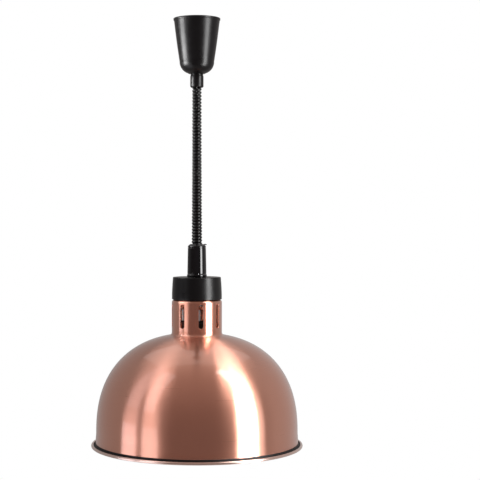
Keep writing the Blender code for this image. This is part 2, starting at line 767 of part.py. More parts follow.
def make_lampholder(metal, ceramic, phenolic, brass, steel, lamp):
    wall, shoulder = 0.0010, 0.0070
    cover = [(STEM_HOLE_R, HOLDER_TOP)]
    cover += arc(HOLDER_TOP_R, HOLDER_TOP + shoulder, HOLDER_R - HOLDER_TOP_R, shoulder, -90, 0, 3)
    cover += [(HOLDER_R, HOLDER_COVER_END)]
    inside = offset(cover, wall)
    inside[0] = (STEM_HOLE_R, HOLDER_TOP + wall)
    turned("lampholder_cover", cover + inside[::-1], metal, ROUND, lamp)
    nut_top, nut_t, nut_corner = HOLDER_TOP + wall + GAP, 0.0022, 0.0082
    hex_nut("lampholder_locknut", nut_top, nut_top + nut_t, steel, lamp, corner=nut_corner)

    puck_r = HOLDER_R - wall - GAP
    contact_hole = 0.0018
    turned("lampholder_base", ring(contact_hole, puck_r, PUCK_TOP, PUCK_END), ceramic, ROUND, lamp)
    flange_top, flange_t, taper, body_edge = HOLDER_COVER_END + GAP, 0.0020, 0.0010, 0.0010
    body = [
        (puck_r, PUCK_END + GAP),
        (puck_r, flange_top),
        (HOLDER_R, flange_top),
        (HOLDER_R, flange_top + flange_t),
        (BODY_R + GAP, flange_top + flange_t + taper),
        (BODY_R, BODY_END - body_edge),
        (BODY_R - body_edge, BODY_END),
        (SHELL_R + GAP, BODY_END),
        (SHELL_R + GAP, PUCK_END + GAP),
    ]
    turned("lampholder_body", body, phenolic, ROUND, lamp)
    shell_back = 0.0030
    shell = ring(SHELL_BORE_R, SHELL_R, PUCK_END + GAP, BODY_END - shell_back)
    turned("screw_shell", shell, brass, ROUND, lamp)
    pin_r, pad_r, head_r, head_t = 0.0015, 0.0040, 0.0026, 0.0008
    head_top = PUCK_TOP - GAP - head_t
    contact = [
        (0, head_top),
        (head_r, head_top),
        (head_r, PUCK_TOP - GAP),
        (pin_r, PUCK_TOP - GAP),
        (pin_r, PUCK_END + GAP),
        (pad_r, PUCK_END + GAP),
        (pad_r, BULB_TOP - GAP),
        (0, BULB_TOP - GAP),
    ]
    turned("centre_contact", contact, brass, SMALL, lamp)

    terminal_t, terminal_half, edge = 0.0030, 0.0026, 0.0004
    wire_r, wire_depth = 0.0009, PUCK_TOP - 0.0019
    for side, pole in ((-1, "line"), (1, "neutral")):
        x = side * TERMINAL_X
        low = (x - terminal_half, -terminal_half, -(PUCK_TOP - GAP))
        high = (x + terminal_half, terminal_half, -(PUCK_TOP - GAP - terminal_t))
        box(f"{pole}_terminal", low, high, brass, lamp, bevel=edge)
        bend = TERMINAL_X - terminal_half
        route = [
            (side * 0.0012, 0, LEAD_END + 4 * GAP),
            (side * 0.0034, 0, wire_depth - 0.0010),
            (side * 0.0064, 0, wire_depth - 0.0001),
            (side * (bend - GAP), 0, wire_depth),
        ]
        tube(f"{pole}_wire", smooth_route(under(route), 2), wire_r, metal, lamp, resolution=1)


# ------------------------------------------------------------------------ bulb


def glass_path():
    """The bulb's outer line, from the neck in its cap down the reflector to the face."""
    neck_r, shoulder = 0.0180, (0.0158, 0.4330)
    path = [(GLASS_NECK_R, GLASS_TOP), (GLASS_NECK_R, BULB_CAP_END + GAP), shoulder]
    steps = 6
    for i in range(steps + 1):
        radius = neck_r + (BULB_R - neck_r) * i / steps
        share = (radius / BULB_R) ** 2
        path.append((radius, PARABOLA_VERTEX + (BULB_WIDEST - PARABOLA_VERTEX) * share))
    face = BULB_FACE - BULB_FACE_EDGE
    path += arc(0, BULB_FACE_EDGE, BULB_R, face, 0, 90, 6)
    path[-1] = (0.0, BULB_FACE)
    return path


def make_bulb(glass, nickel, black_glass, tungsten, bulb):
    outer = glass_path()
    inner = offset(outer, GLASS_WALL)
    inner[-1] = (0.0, BULB_FACE - GLASS_WALL)
    mesh_outline = inner[::-1] + outer
    turned("bulb_envelope", mesh_outline, glass, ROUND, bulb)

    ridges, per_ridge = 4, 2
    crest_r, bevel, plain = CAP_THREAD_R + THREAD_DEPTH, 0.0012, 0.0020
    cap = [(CAP_THREAD_R - bevel, BULB_CAP_TOP), (CAP_THREAD_R, BULB_CAP_TOP + bevel)]
    for i in range(ridges * per_ridge + 1):
        angle = 2 * math.pi * i / per_ridge
        radius = CAP_THREAD_R + THREAD_DEPTH * (1 - math.cos(angle)) / 2
        cap.append((radius, BULB_CAP_TOP + plain + THREAD_PITCH * i / per_ridge))
    cap += [(crest_r, BULB_CAP_END - bevel), (crest_r + GAP / 2, BULB_CAP_END)]
    cap += [(GLASS_NECK_R + GAP, BULB_CAP_END), (GLASS_NECK_R + GAP, BULB_CAP_TOP)]
    turned("bulb_cap", cap, nickel, ROUND, bulb)

    tip_r, tip_bevel, tip_end = 0.0048, 0.0010, BULB_TOP + 0.0018
    tip = [(0, BULB_TOP), (tip_r - tip_bevel, BULB_TOP), (tip_r, BULB_TOP + tip_bevel)]
    tip += [(tip_r, tip_end), (0, tip_end)]
    turned("bulb_tip_contact", tip, nickel, SMALL, bulb)
    seat, hole_r, cone_r, cone_end_r = tip_end + GAP, 0.0020, 0.0050, 0.0108
    insulator_end = seat + 0.0046
    insulator = [(hole_r, seat), (cone_r, seat), (cone_end_r, BULB_CAP_TOP - GAP)]
    insulator += [(cone_end_r, insulator_end), (hole_r, insulator_end)]
    turned("bulb_insulator", insulator, black_glass, 24, bulb)

    mount_end = 0.4620
    mount = [(0, GLASS_TOP), (0.0050, GLASS_TOP), (0.0040, 0.4400), (0.0026, mount_end), (0, mount_end)]
    turned("bulb_mount", mount, glass, SMALL, bulb)
    for side in (-1, 1):
        route = [
            (side * 0.0014, 0, mount_end + GAP),
            (side * 0.0045, 0, 0.4720),
            (side * FILAMENT_R, 0, FILAMENT_DEPTH - 0.0015),
        ]
        number = 1 if side < 0 else 2
        tube(f"lead_in_wire_{number}", smooth_route(under(route), 2), 0.0005, nickel, bulb, resolution=1)
    steps = 12
    angles = [math.pi * i / steps for i in range(steps + 1)]
    arc_line = [
        (FILAMENT_R * math.cos(a), FILAMENT_R * math.sin(a), -FILAMENT_DEPTH) for a in angles
    ]
    tube("filament", arc_line, 0.0008, tungsten, bulb, resolution=1)


def main():
    clear_scene()
    steel = finish("zinc_plated_steel", (0.55, 0.56, 0.58), 0.35, 1.0)
    spring_steel = finish("spring_steel", (0.30, 0.31, 0.34), 0.35, 1.0)
    cable_steel = finish("stainless_wire_rope", (0.60, 0.60, 0.60), 0.40, 1.0)
    brass = finish("brass", (0.75, 0.58, 0.28), 0.35, 1.0)
    bright = finish("bright_aluminium", (0.85, 0.85, 0.86), 0.25, 1.0)
    satin_black = finish("satin_black_plastic", (0.015, 0.015, 0.017), 0.35, 0.0)
    gloss_black = finish("gloss_black_lacquer", (0.008, 0.008, 0.009), 0.08, 0.0)
    cord_black = finish("cord_jacket", (0.012, 0.012, 0.013), 0.40, 0.0)
    white_plastic = finish("white_plastic", (0.80, 0.80, 0.78), 0.45, 0.0)
    nylon = finish("natural_nylon", (0.75, 0.73, 0.66), 0.45, 0.0)
    ceramic = finish("white_ceramic", (0.82, 0.81, 0.78), 0.25, 0.0)
    phenolic = finish("black_phenolic", (0.02, 0.016, 0.014), 0.40, 0.0)
    copper = finish("brushed_copper", (0.72, 0.42, 0.32), 0.28, 1.0)
    glass = finish("silvered_glass", (0.85, 0.87, 0.88), 0.12, 0.6)
    nickel = finish("nickel", (0.75, 0.74, 0.70), 0.25, 1.0)
    black_glass = finish("black_glass", (0.01, 0.01, 0.012), 0.10, 0.0)
    tungsten = finish("tungsten", (0.35, 0.33, 0.30), 0.45, 1.0)

    reel = joint_empty("reel_axis", REEL_X, 0, REEL_DEPTH)
    swing = joint_empty("cord_swing", 0, 0, SLEEVE_END)
    lamp = joint_empty("lamp_lift", 0, 0, GLAND_TOP)
    bulb = joint_empty("bulb_out", 0, 0, BULB_TOP)

    make_ceiling_plate(steel)
    make_ceiling_cup(satin_black)
    make_reel_frame(steel)
    make_frame_screws(steel)
    make_exit_sleeve(satin_black)
    nut_t, nut_corner, nut_end = 0.0030, 0.0101, FRAME_WEB - FRAME_T - GAP
    hex_nut("sleeve_nut", nut_end - nut_t, nut_end, steel, hole=SLEEVE_NECK_R + GAP, corner=nut_corner)
    make_cable_guide(nylon)
    make_terminal_block(white_plastic, brass)
    make_ceiling_cords(cord_black, cable_steel)
    make_reel(steel, nylon, spring_steel, cable_steel, reel)
    make_cord(cord_black, cable_steel, swing)
    make_grip(gloss_black, steel, brass, lamp)
    make_stem_and_nuts(steel, cord_black, lamp)
    make_top_cap(satin_black, lamp)
    make_shade(copper, lamp)
    make_shade_fixings(steel, brass, lamp)
    make_lampholder(bright, ceramic, phenolic, brass, steel, lamp)
    make_bulb(glass, nickel, black_glass, tungsten, bulb)


main()
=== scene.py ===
"""The looks of a food-warming pendant heat lamp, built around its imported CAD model.

Everything hangs along one vertical axis. Outlines are lists of (radius, depth) points, where a
depth is measured down from the ceiling, so it is a negative Z. Sizes are in metres.
"""

import json
import math

import bmesh
import bpy
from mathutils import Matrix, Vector
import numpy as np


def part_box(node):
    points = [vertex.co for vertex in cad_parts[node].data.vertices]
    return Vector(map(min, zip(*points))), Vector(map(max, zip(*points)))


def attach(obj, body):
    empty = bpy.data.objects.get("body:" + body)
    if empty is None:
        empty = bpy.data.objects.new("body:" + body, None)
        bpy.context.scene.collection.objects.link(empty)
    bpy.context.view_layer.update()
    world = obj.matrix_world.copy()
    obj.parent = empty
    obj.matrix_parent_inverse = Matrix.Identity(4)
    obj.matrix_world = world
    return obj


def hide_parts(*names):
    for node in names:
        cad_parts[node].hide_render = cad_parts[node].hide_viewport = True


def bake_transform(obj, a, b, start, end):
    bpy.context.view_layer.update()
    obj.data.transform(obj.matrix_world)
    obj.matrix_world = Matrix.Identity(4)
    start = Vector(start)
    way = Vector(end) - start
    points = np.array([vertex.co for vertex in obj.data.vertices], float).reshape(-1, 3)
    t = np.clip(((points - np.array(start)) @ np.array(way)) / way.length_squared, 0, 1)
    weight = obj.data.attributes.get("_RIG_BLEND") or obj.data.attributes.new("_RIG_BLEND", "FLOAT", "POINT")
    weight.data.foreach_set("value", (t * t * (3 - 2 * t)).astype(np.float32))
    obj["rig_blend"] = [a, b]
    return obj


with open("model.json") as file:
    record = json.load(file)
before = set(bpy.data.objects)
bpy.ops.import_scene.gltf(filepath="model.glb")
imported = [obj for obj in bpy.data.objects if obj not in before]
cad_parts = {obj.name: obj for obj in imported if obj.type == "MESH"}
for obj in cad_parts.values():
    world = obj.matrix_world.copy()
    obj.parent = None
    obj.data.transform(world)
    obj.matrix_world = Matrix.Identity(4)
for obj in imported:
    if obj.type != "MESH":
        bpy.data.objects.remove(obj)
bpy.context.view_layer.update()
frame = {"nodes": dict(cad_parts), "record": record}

FINE = 192  # segments of the shade and the other large turned pieces
MIDDLE = 128
SMALL = 64
GAP = 0.0003  # between pieces that touch, as in the CAD
SHEET = 0.001  # spun shade
STEM_HOLE_R = 0.0053  # in every piece that the hollow stem goes through
THREAD_PITCH = 0.00363  # 27 mm screw cap and its shell
SHARP_ANGLE = 32.0  # degrees; a steeper edge is shown sharp
CAMERA_DISTANCE = 1.70
CAMERA_HEIGHT = -0.2737


def top(node):
    return -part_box(node)[1].z


def end(node):
    return -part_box(node)[0].z


def widest(node):
    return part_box(node)[1].x


# --------------------------------------------------------------------- camera


def make_camera():
    """Nearly level with the middle of the lamp. The shift puts the lamp left in the picture."""
    data = bpy.data.cameras.new("camera")
    camera = bpy.data.objects.new("camera", data)
    bpy.context.scene.collection.objects.link(camera)
    camera.location = (0.0, -CAMERA_DISTANCE, CAMERA_HEIGHT)
    camera.rotation_euler = (math.radians(90), 0.0, 0.0)
    data.sensor_width = 36.0
    data.lens = 94.65
    data.shift_x = 0.0898
    data.shift_y = -0.0379
    bpy.context.scene.camera = camera


# ---------------------------------------------------------------------- nodes


class Recipe:
    """Builds one material's nodes with short calls."""

    def __init__(self, name):
        self.material = bpy.data.materials.new(name)
        self.material.use_nodes = True
        self.tree = self.material.node_tree
        self.shader = self.tree.nodes["Principled BSDF"]
        self.place = self.node("TexCoord").outputs["Object"]

    def node(self, kind, values=None, **settings):
        made = self.tree.nodes.new(f"ShaderNode{kind}")
        for key, value in settings.items():
            setattr(made, key, value)
        for key, value in (values or {}).items():
            self.feed(made.inputs[key], value)
        return made

    def feed(self, socket, value):
        if isinstance(value, bpy.types.NodeSocket):
            self.tree.links.new(value, socket)
        else:
            socket.default_value = value

    def math(self, operation, a, b=0.0):
        return self.node("Math", {0: a, 1: b}, operation=operation).outputs[0]

    def remap(self, value, start, finish, low, high, **settings):
        limits = {"Value": value, "From Min": start, "From Max": finish, "To Min": low, "To Max": high}
        return self.node("MapRange", limits, **settings).outputs["Result"]

    def sum_of_squares(self, a, b):
        return self.math("ADD", self.math("MULTIPLY", a, a), self.math("MULTIPLY", b, b))

    def step(self, value, start, finish, low=0.0, high=1.0):
        """A smooth step from low to high as value goes from start to finish."""
        return self.remap(value, start, finish, low, high, interpolation_type="SMOOTHSTEP")

    def span(self, value, low, high, start=0.3, finish=0.7):
        """A straight ramp from low to high as value goes from start to finish."""
        return self.remap(value, start, finish, low, high)

    def noise(self, scale, detail=3.0, vector=None):
        values = {"Vector": vector or self.place, "Scale": scale, "Detail": detail, "Roughness": 0.55}
        return self.node("TexNoise", values).outputs["Fac"]

    def tones(self, factor, low, high, start=0.3, finish=0.7):
        ramp = self.node("ValToRGB", {"Fac": factor})
        ramp.color_ramp.elements[0].position = start
        ramp.color_ramp.elements[1].position = finish
        ramp.color_ramp.elements[0].color = (*low, 1.0)
        ramp.color_ramp.elements[1].color = (*high, 1.0)
        return ramp.outputs["Color"]

    def mix(self, factor, a, b):
        made = self.node("MixRGB", {"Fac": factor})
        for key, value in (("Color1", a), ("Color2", b)):
            self.feed(made.inputs[key], value if isinstance(value, bpy.types.NodeSocket) else (*value, 1.0))
        return made.outputs["Color"]

    def bump(self, height, strength, distance):
        made = self.node("Bump", {"Height": height, "Strength": strength, "Distance": distance})
        self.feed(self.shader.inputs["Normal"], made.outputs["Normal"])

    def around(self, along, turn):
        """A vector that changes with radius and height, and only slowly round the axis."""
        parts = self.node("SeparateXYZ", {"Vector": self.place}).outputs
        x, y, z = parts["X"], parts["Y"], parts["Z"]
        radius = self.math("SQRT", self.sum_of_squares(x, y))
        angle = self.math("ARCTAN2", x, self.math("MULTIPLY", y, -1.0))
        values = {"X": self.math("MULTIPLY", radius, along), "Y": self.math("MULTIPLY", z, along)}
        values["Z"] = self.math("MULTIPLY", angle, turn)
        self.radius, self.height = radius, z
        return self.node("CombineXYZ", values).outputs["Vector"]

    def set(self, **sockets):
        for name, value in sockets.items():
            self.feed(self.shader.inputs[name.replace("_", " ")], value)


def shade_of(colour, factor):
    return tuple(min(c * factor, 1.0) for c in colour)


def plain_surface(name, colour, roughness, spread=0.06, mottle=0.10, blotch=45.0, grain=900.0,
                  depth=0.00004, **sockets):
    """A moulded, cast or plated surface: its tone and its gloss wander, over a fine grain."""
    recipe = Recipe(name)
    slow = recipe.noise(blotch, 4.0)
    fine = recipe.noise(grain, 2.0)
    recipe.set(
        Base_Color=recipe.tones(slow, shade_of(colour, 1 - mottle), shade_of(colour, 1 + mottle)),
        Roughness=recipe.span(recipe.noise(blotch * 2.7, 3.0), roughness - spread, roughness + spread),
        **sockets,
    )
    recipe.bump(fine, 0.35, depth)
    return recipe.material


def turned_metal(name, colour, roughness, lines=2600.0, depth=0.00003, mottle=0.06, **sockets):
    """Metal turned or spun on a lathe: fine lines run round its axis."""
    recipe = Recipe(name)
    around = recipe.around(1.0, 0.004)
    line = recipe.noise(lines, 3.0, around)
    slow = recipe.noise(30.0, 3.0)
    recipe.set(
        Base_Color=recipe.tones(slow, shade_of(colour, 1 - mottle), shade_of(colour, 1 + mottle)),
        Roughness=recipe.span(line, roughness * 0.75, roughness * 1.25),
        Metallic=1.0,
        **sockets,
    )
    recipe.bump(line, 0.25, depth)
    return recipe.material


def channel_painted_shade(recipe):
    """The mask of the painted shade: 1 on the outside of the channel behind the rolled rim and 0
    elsewhere. The squared distance from the channel's centre keeps the underside of the sheet clear of it."""
    across = recipe.math("SUBTRACT", recipe.radius, CHANNEL_CENTRE_R)
    below = recipe.math("MINIMUM", recipe.math("ADD", recipe.height, CHANNEL_CENTRE_DEPTH), 0.0)
    limits = (
        recipe.step(recipe.radius, 0.1350, 0.1356),
        recipe.step(recipe.radius, 0.1391, 0.1387),
        recipe.step(recipe.height, -0.5684, -0.5689),
        recipe.step(recipe.sum_of_squares(across, below), 7.6e-6, 6.2e-6),
    )
    # painted shade mask: the channel's crease behind the rolled rim
    painted_shade = limits[0]
    for limit in limits[1:]:
        painted_shade = recipe.math("MULTIPLY", painted_shade, limit)
    return painted_shade


def copper_material():
    """Spun steel, copper plated, brushed round the axis and lacquered. The brushing throws every
    reflection up and down, so lights show as bands that run from the rim to the neck. The channel
    behind the rolled rim is painted near black, a painted shade in its crease, and the rolled bead
    is painted paler, a painted highlight for its bright reflection."""
    recipe = Recipe("brushed_copper")
    around = recipe.around(1.0, 0.0008)
    line = recipe.noise(2300.0, 3.0, around)
    broad = recipe.noise(150.0, 2.0, around)
    slow = recipe.noise(7.0, 3.0)
    metal = recipe.tones(slow, (0.700, 0.330, 0.235), (0.760, 0.365, 0.262))
    metal = recipe.mix(recipe.span(line, 0.0, 0.08), metal, (0.60, 0.27, 0.19))
    # painted highlight: the rolled bead is made paler and less red than the dome, standing in for its bright
    # reflection
    painted_bead_highlight = recipe.step(recipe.radius, 0.1380, 0.1392, 0.0, 0.75)
    metal = recipe.mix(painted_bead_highlight, metal, (0.82, 0.66, 0.60))
    # painted shade: the channel behind the rolled rim is made near black, dull and uncoated, where shade
    # falls in its crease
    painted_shade = channel_painted_shade(recipe)
    gloss = recipe.math("ADD", recipe.span(line, -0.012, 0.012), recipe.span(broad, 0.28, 0.30))
    recipe.set(
        # near black where the shade is painted in the channel
        Base_Color=recipe.mix(painted_shade, metal, (0.004, 0.003, 0.003)),
        Roughness=recipe.math("ADD", gloss, recipe.math("MULTIPLY", painted_shade, 0.5)),
        Metallic=recipe.span(painted_shade, 1.0, 0.0, 0.0, 1.0),
        Anisotropic=1.0,
        Anisotropic_Rotation=0.25,
        Coat_Weight=recipe.span(painted_shade, 0.8, 0.0, 0.0, 1.0),
        Coat_Roughness=0.08,
    )
    tangent = recipe.node("Tangent", direction_type="RADIAL", axis="Z")
    recipe.feed(recipe.shader.inputs["Tangent"], tangent.outputs["Tangent"])
    return recipe.material


def lacquer_material():
    """Stoved gloss black: a faint orange peel under a clear, hard coat."""
    recipe = Recipe("gloss_black_lacquer")
    peel = recipe.noise(420.0, 2.0)
    dust = recipe.noise(160.0, 5.0)
    recipe.set(
        Base_Color=recipe.tones(dust, (0.0012, 0.0012, 0.0015), (0.0022, 0.0022, 0.0028)),
        Roughness=recipe.span(dust, 0.03, 0.08),
        Specular_IOR_Level=0.36,
    )
    recipe.bump(peel, 0.10, 0.00003)
    return recipe.material


def rope_material():
    """Bright stranded wire, with painted shade between the strands."""
    recipe = Recipe("wire_rope")
    grime = recipe.noise(700.0, 3.0)
    point = recipe.node("NewGeometry").outputs["Pointiness"]
    recipe.set(
        # painted shade: where pointiness is low, in the grooves between the strands, the wire is made dark
        Base_Color=recipe.mix(recipe.step(point, 0.44, 0.52), (0.16, 0.16, 0.16), (0.62, 0.62, 0.61)),
        Roughness=recipe.span(grime, 0.26, 0.42),
        Metallic=1.0,
    )
    recipe.bump(grime, 0.2, 0.00002)
    return recipe.material


def silver_material():
    """The vacuum-coated reflector behind its glass: bright, faintly milky and slightly uneven."""
    recipe = Recipe("silvered_glass")
    cloud = recipe.noise(38.0, 4.0)
    ripple = recipe.noise(70.0, 2.0)
    recipe.set(
        Base_Color=recipe.tones(cloud, (0.80, 0.81, 0.83), (0.93, 0.93, 0.94)),
        Roughness=recipe.span(cloud, 0.10, 0.20),
        Metallic=0.92,
        Coat_Weight=0.6,
        Coat_Roughness=0.03,
    )
    recipe.bump(ripple, 0.15, 0.0003)
    return recipe.material


def lens_material():
    """Clear pressed glass, with a faint haze and the fine waves of its mould."""
    recipe = Recipe("clear_glass")
    haze = recipe.noise(60.0, 3.0)
    wave = recipe.noise(220.0, 2.0)
    recipe.set(
        Base_Color=recipe.tones(haze, (0.95, 0.97, 0.97), (0.99, 0.99, 0.99)),
        Roughness=recipe.span(haze, 0.02, 0.06),
        Transmission_Weight=1.0,
        IOR=1.47,
    )
    recipe.bump(wave, 0.15, 0.0002)
    return recipe.material


def make_materials():
    """One material for each of the record's material slots, and the bulb's silvering."""
    return {
        "copper_shade": copper_material(),
        "gloss_black_lacquer": lacquer_material(),
        "wire_rope": rope_material(),
        "silver": silver_material(),
        "bulb_glass": lens_material(),
        "satin_black_plastic": plain_surface(
            "satin_black_plastic", (0.0020, 0.0018, 0.0020), 0.30, spread=0.03, grain=1500.0, depth=0.00003,
            Specular_IOR_Level=0.20),
        "cord_jacket": plain_surface(
            "cord_jacket", (0.0016, 0.0016, 0.0017), 0.26, spread=0.04, grain=1100.0, depth=0.00005,
            Specular_IOR_Level=0.25),
        "white_plastic": plain_surface(
            "white_plastic", (0.74, 0.74, 0.71), 0.42, mottle=0.04, Subsurface_Weight=0.05),
        "nylon": plain_surface(
            "natural_nylon", (0.70, 0.68, 0.60), 0.45, mottle=0.05, Subsurface_Weight=0.10),
        "ceramic": plain_surface(
            "glazed_steatite", (0.78, 0.77, 0.73), 0.22, mottle=0.04, grain=300.0, Coat_Weight=0.5),
        "black_phenolic": plain_surface(
            "black_phenolic", (0.022, 0.017, 0.014), 0.38, mottle=0.25, blotch=160.0, grain=700.0),
        "black_glass": plain_surface(
            "black_glass", (0.010, 0.010, 0.013), 0.10, spread=0.03, grain=260.0, Coat_Weight=0.6),
        "zinc_steel": plain_surface(
            "zinc_plated_steel", (0.46, 0.47, 0.49), 0.36, mottle=0.05, blotch=120.0, Metallic=1.0),
        "spring_steel": plain_surface(
            "blued_spring_steel", (0.22, 0.24, 0.30), 0.30, mottle=0.20, blotch=120.0, Metallic=1.0),
        "brass": plain_surface(
            "brass", (0.78, 0.58, 0.27), 0.30, mottle=0.10, blotch=140.0, Metallic=1.0),
        "tungsten": plain_surface(
            "tungsten", (0.34, 0.32, 0.30), 0.42, mottle=0.15, blotch=300.0, Metallic=1.0),
        "wire_copper": plain_surface(
            "sleeved_wire", (0.82, 0.80, 0.74), 0.50, mottle=0.06, grain=2400.0, depth=0.0001),
        "bright_aluminium": turned_metal("bright_aluminium", (0.86, 0.86, 0.87), 0.20),
        "nickel": turned_metal("nickel_plate", (0.74, 0.71, 0.66), 0.22, lines=1800.0),
    }


# ----------------------------------------------------------------- mesh tools


def arc(centre_r, centre_depth, across, down, start, finish, steps):
    """Points of an elliptical arc. Angle 0 points outwards and 90 degrees points down."""
    angles = [math.radians(start + (finish - start) * i / steps) for i in range(steps + 1)]
    return [(centre_r + across * math.cos(a), centre_depth + down * math.sin(a)) for a in angles]


def rounded(corners, steps=5):
    """An outline from corners. One given as (radius, depth, setback) becomes a smooth curve that
    starts and ends that far from the corner."""
    outline = []
    for i, corner in enumerate(corners):
        if len(corner) == 2:
            outline.append(corner)
            continue
        point = Vector(corner[:2])
        before = Vector(corners[i - 1][:2])
        after = Vector(corners[(i + 1) % len(corners)][:2])
        start = point + (before - point).normalized() * corner[2]
        finish = point + (after - point).normalized() * corner[2]
        for k in range(steps + 1):
            t = k / steps
            outline.append(tuple(start * (1 - t) ** 2 + point * 2 * t * (1 - t) + finish * t**2))
    return outline


def offset(path, distance):
    """The path moved sideways, to the right of its direction in (radius, depth)."""
    moved = []
    for i, point in enumerate(path):
        a, b = path[max(i - 1, 0)], path[min(i + 1, len(path) - 1)]
        dr, dd = b[0] - a[0], b[1] - a[1]
        length = math.hypot(dr, dd)
        moved.append((point[0] - distance * dd / length, point[1] + distance * dr / length))
    return moved


def new_piece(name, mesh, material, body, replaces=(), sharp=SHARP_ANGLE):
    """Finishes one piece: its normals, shading, material, body, slot and CAD nodes."""
    for one in material if isinstance(material, (list, tuple)) else [material]:
        mesh.materials.append(one)
    mesh.shade_smooth()
    mesh.set_sharp_from_angle(angle=math.radians(sharp))
    piece = bpy.data.objects.new(name, mesh)
    bpy.context.scene.collection.objects.link(piece)
    if body:
        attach(piece, body)
    if replaces:
        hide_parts(*replaces)
    return piece


def mesh_of(name, verts, faces, merge=0.0):
    mesh = bpy.data.meshes.new(name)
    mesh.from_pydata([tuple(v) for v in verts], [], faces)
    bm = bmesh.new()
    bm.from_mesh(mesh)
    if merge:
        bmesh.ops.remove_doubles(bm, verts=bm.verts, dist=merge)
    bmesh.ops.recalc_face_normals(bm, faces=bm.faces)
    bm.to_mesh(mesh)
    bm.free()
    return mesh


def revolve(outline, segments, start=0.0, ripple=None, closed=True):
    """Vertices and faces of an outline turned about Z. A point on the axis becomes a pole.
    ripple(angle, radius, depth) may move a point in or out."""
    verts, rings = [], []
    for r, depth in outline:
        first = len(verts)
        if r < 1e-7:
            rings.append([first])
            verts.append((0.0, 0.0, -depth))
            continue
        rings.append(range(first, first + segments))
        for i in range(segments):
            a = start + 2 * math.pi * i / segments
            wide = r + (ripple(a, r, depth) if ripple else 0.0)
            verts.append((wide * math.cos(a), wide * math.sin(a), -depth))
    if closed and len(rings[0]) > 1:
        rings.append(rings[0])
    faces = []
    for a, b in zip(rings, rings[1:]):
        for i in range(segments):
            j = (i + 1) % segments
            loop = (a[i % len(a)], b[i % len(b)], b[j % len(b)], a[j % len(a)])
            faces.append(tuple(dict.fromkeys(loop)))
    return verts, faces


def lathe(name, outline, material, body, segments=MIDDLE, replaces=None, ripple=None, shift=(0, 0)):
    verts, faces = revolve(outline, segments, ripple=ripple)
    if any(shift):
        verts = [(x + shift[0], y + shift[1], z) for x, y, z in verts]
    mesh = mesh_of(name, verts, faces)
    return new_piece(name, mesh, material, body, replaces or ())


def cut_holes(piece, holes, segments=48):
    """Cuts round upright holes, given as (x, y, radius, top, end), and keeps the result."""
    for x, y, radius, start, finish in holes:
        verts, faces = revolve([(0, start), (radius, start), (radius, finish), (0, finish)], segments)
        tool_mesh = mesh_of("tool", [(a + x, b + y, c) for a, b, c in verts], faces)
        tool = bpy.data.objects.new("tool", tool_mesh)
        bpy.context.scene.collection.objects.link(tool)
        modifier = piece.modifiers.new("hole", "BOOLEAN")
        modifier.operation = "DIFFERENCE"
        modifier.solver = "EXACT"
        modifier.object = tool
        bpy.context.view_layer.update()
        shown = piece.evaluated_get(bpy.context.evaluated_depsgraph_get())
        old, new = piece.data, bpy.data.meshes.new_from_object(shown)
        piece.modifiers.clear()
        piece.data = new
        new.name = piece.name
        new.set_sharp_from_angle(angle=math.radians(SHARP_ANGLE))
        bpy.data.meshes.remove(old)
        bpy.data.objects.remove(tool)
        bpy.data.meshes.remove(tool_mesh)


def sweep(path, section, sides):
    """Vertices and faces of a capped tube along a path. section(k, turn) gives the radius at
    point k of the path and at that angle round it."""
    verts, faces = [], []
    normal = None
    for k, point in enumerate(path):
        ahead = (path[min(k + 1, len(path) - 1)] - path[max(k - 1, 0)]).normalized()
        if normal is None:
            normal = ahead.orthogonal().normalized()
        normal = (normal - ahead * normal.dot(ahead)).normalized()
        side = ahead.cross(normal)
        for i in range(sides):
            a = 2 * math.pi * i / sides
            verts.append(point + (normal * math.cos(a) + side * math.sin(a)) * section(k, a))
    for k in range(len(path) - 1):
        for i in range(sides):
            j = (i + 1) % sides
            row = k * sides
            faces.append((row + i, row + j, row + sides + j, row + sides + i))
    last = (len(path) - 1) * sides
    faces.append(tuple(range(sides))[::-1])
    faces.append(tuple(range(last, last + sides)))
    return verts, faces


def smoothstep(t):
    t = min(max(t, 0.0), 1.0)
    return t * t * (3 - 2 * t)


def even_weights(piece, weights):
    """Gives a blended piece one weight for each of its rings, so that a ring moves whole and a
    strand keeps its thickness when the cord is drawn out."""
    values = piece.data.attributes["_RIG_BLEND"].data
    sides = len(values) // len(weights)
    values.foreach_set("value", [w for w in weights for _ in range(sides)])


# -------------------------------------------------------------- cord and cable

TURNS = 48
STRAND_R = 0.0021
TURNS_ABOVE = 0.625  # hidden in the sleeve
TURNS_BELOW = 0.625  # hidden in the gland
TURN_POINTS = 24
COIL_TOP_R = 0.00636
SAG = 0.045  # share by which the top turn is wider spaced than the mean, and the last one closer


def coil_path():
    """The curly cord's line: a right-handed helix that widens downwards. It starts part of a turn up
    inside the sleeve's mouth and ends part of a turn down inside the gland."""
    low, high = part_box("curly_cord")
    radius_top = COIL_TOP_R - STRAND_R
    radius_end = high.x - STRAND_R
    first, last = -high.z + STRAND_R, -low.z - STRAND_R
    ease, reach = 0.40, 0.0006  # turns that rise out of the helix at its top, and how far
    path = []
    for k in range(round(-TURNS_ABOVE * TURN_POINTS), round((TURNS + TURNS_BELOW) * TURN_POINTS) + 1):
        turn = k / TURN_POINTS
        share = turn / TURNS
        radius = radius_top + (radius_end - radius_top) * min(max(share, 0.0), 1.0) ** 1.5
        depth = first + (last - first) * (share + SAG * share * (1 - share))
        depth -= reach * max(0.0, 1 - (turn + TURNS_ABOVE) / ease) ** 2
        angle = -2 * math.pi * turn
        path.append(Vector((radius * math.cos(angle), radius * math.sin(angle), -depth)))
    return path


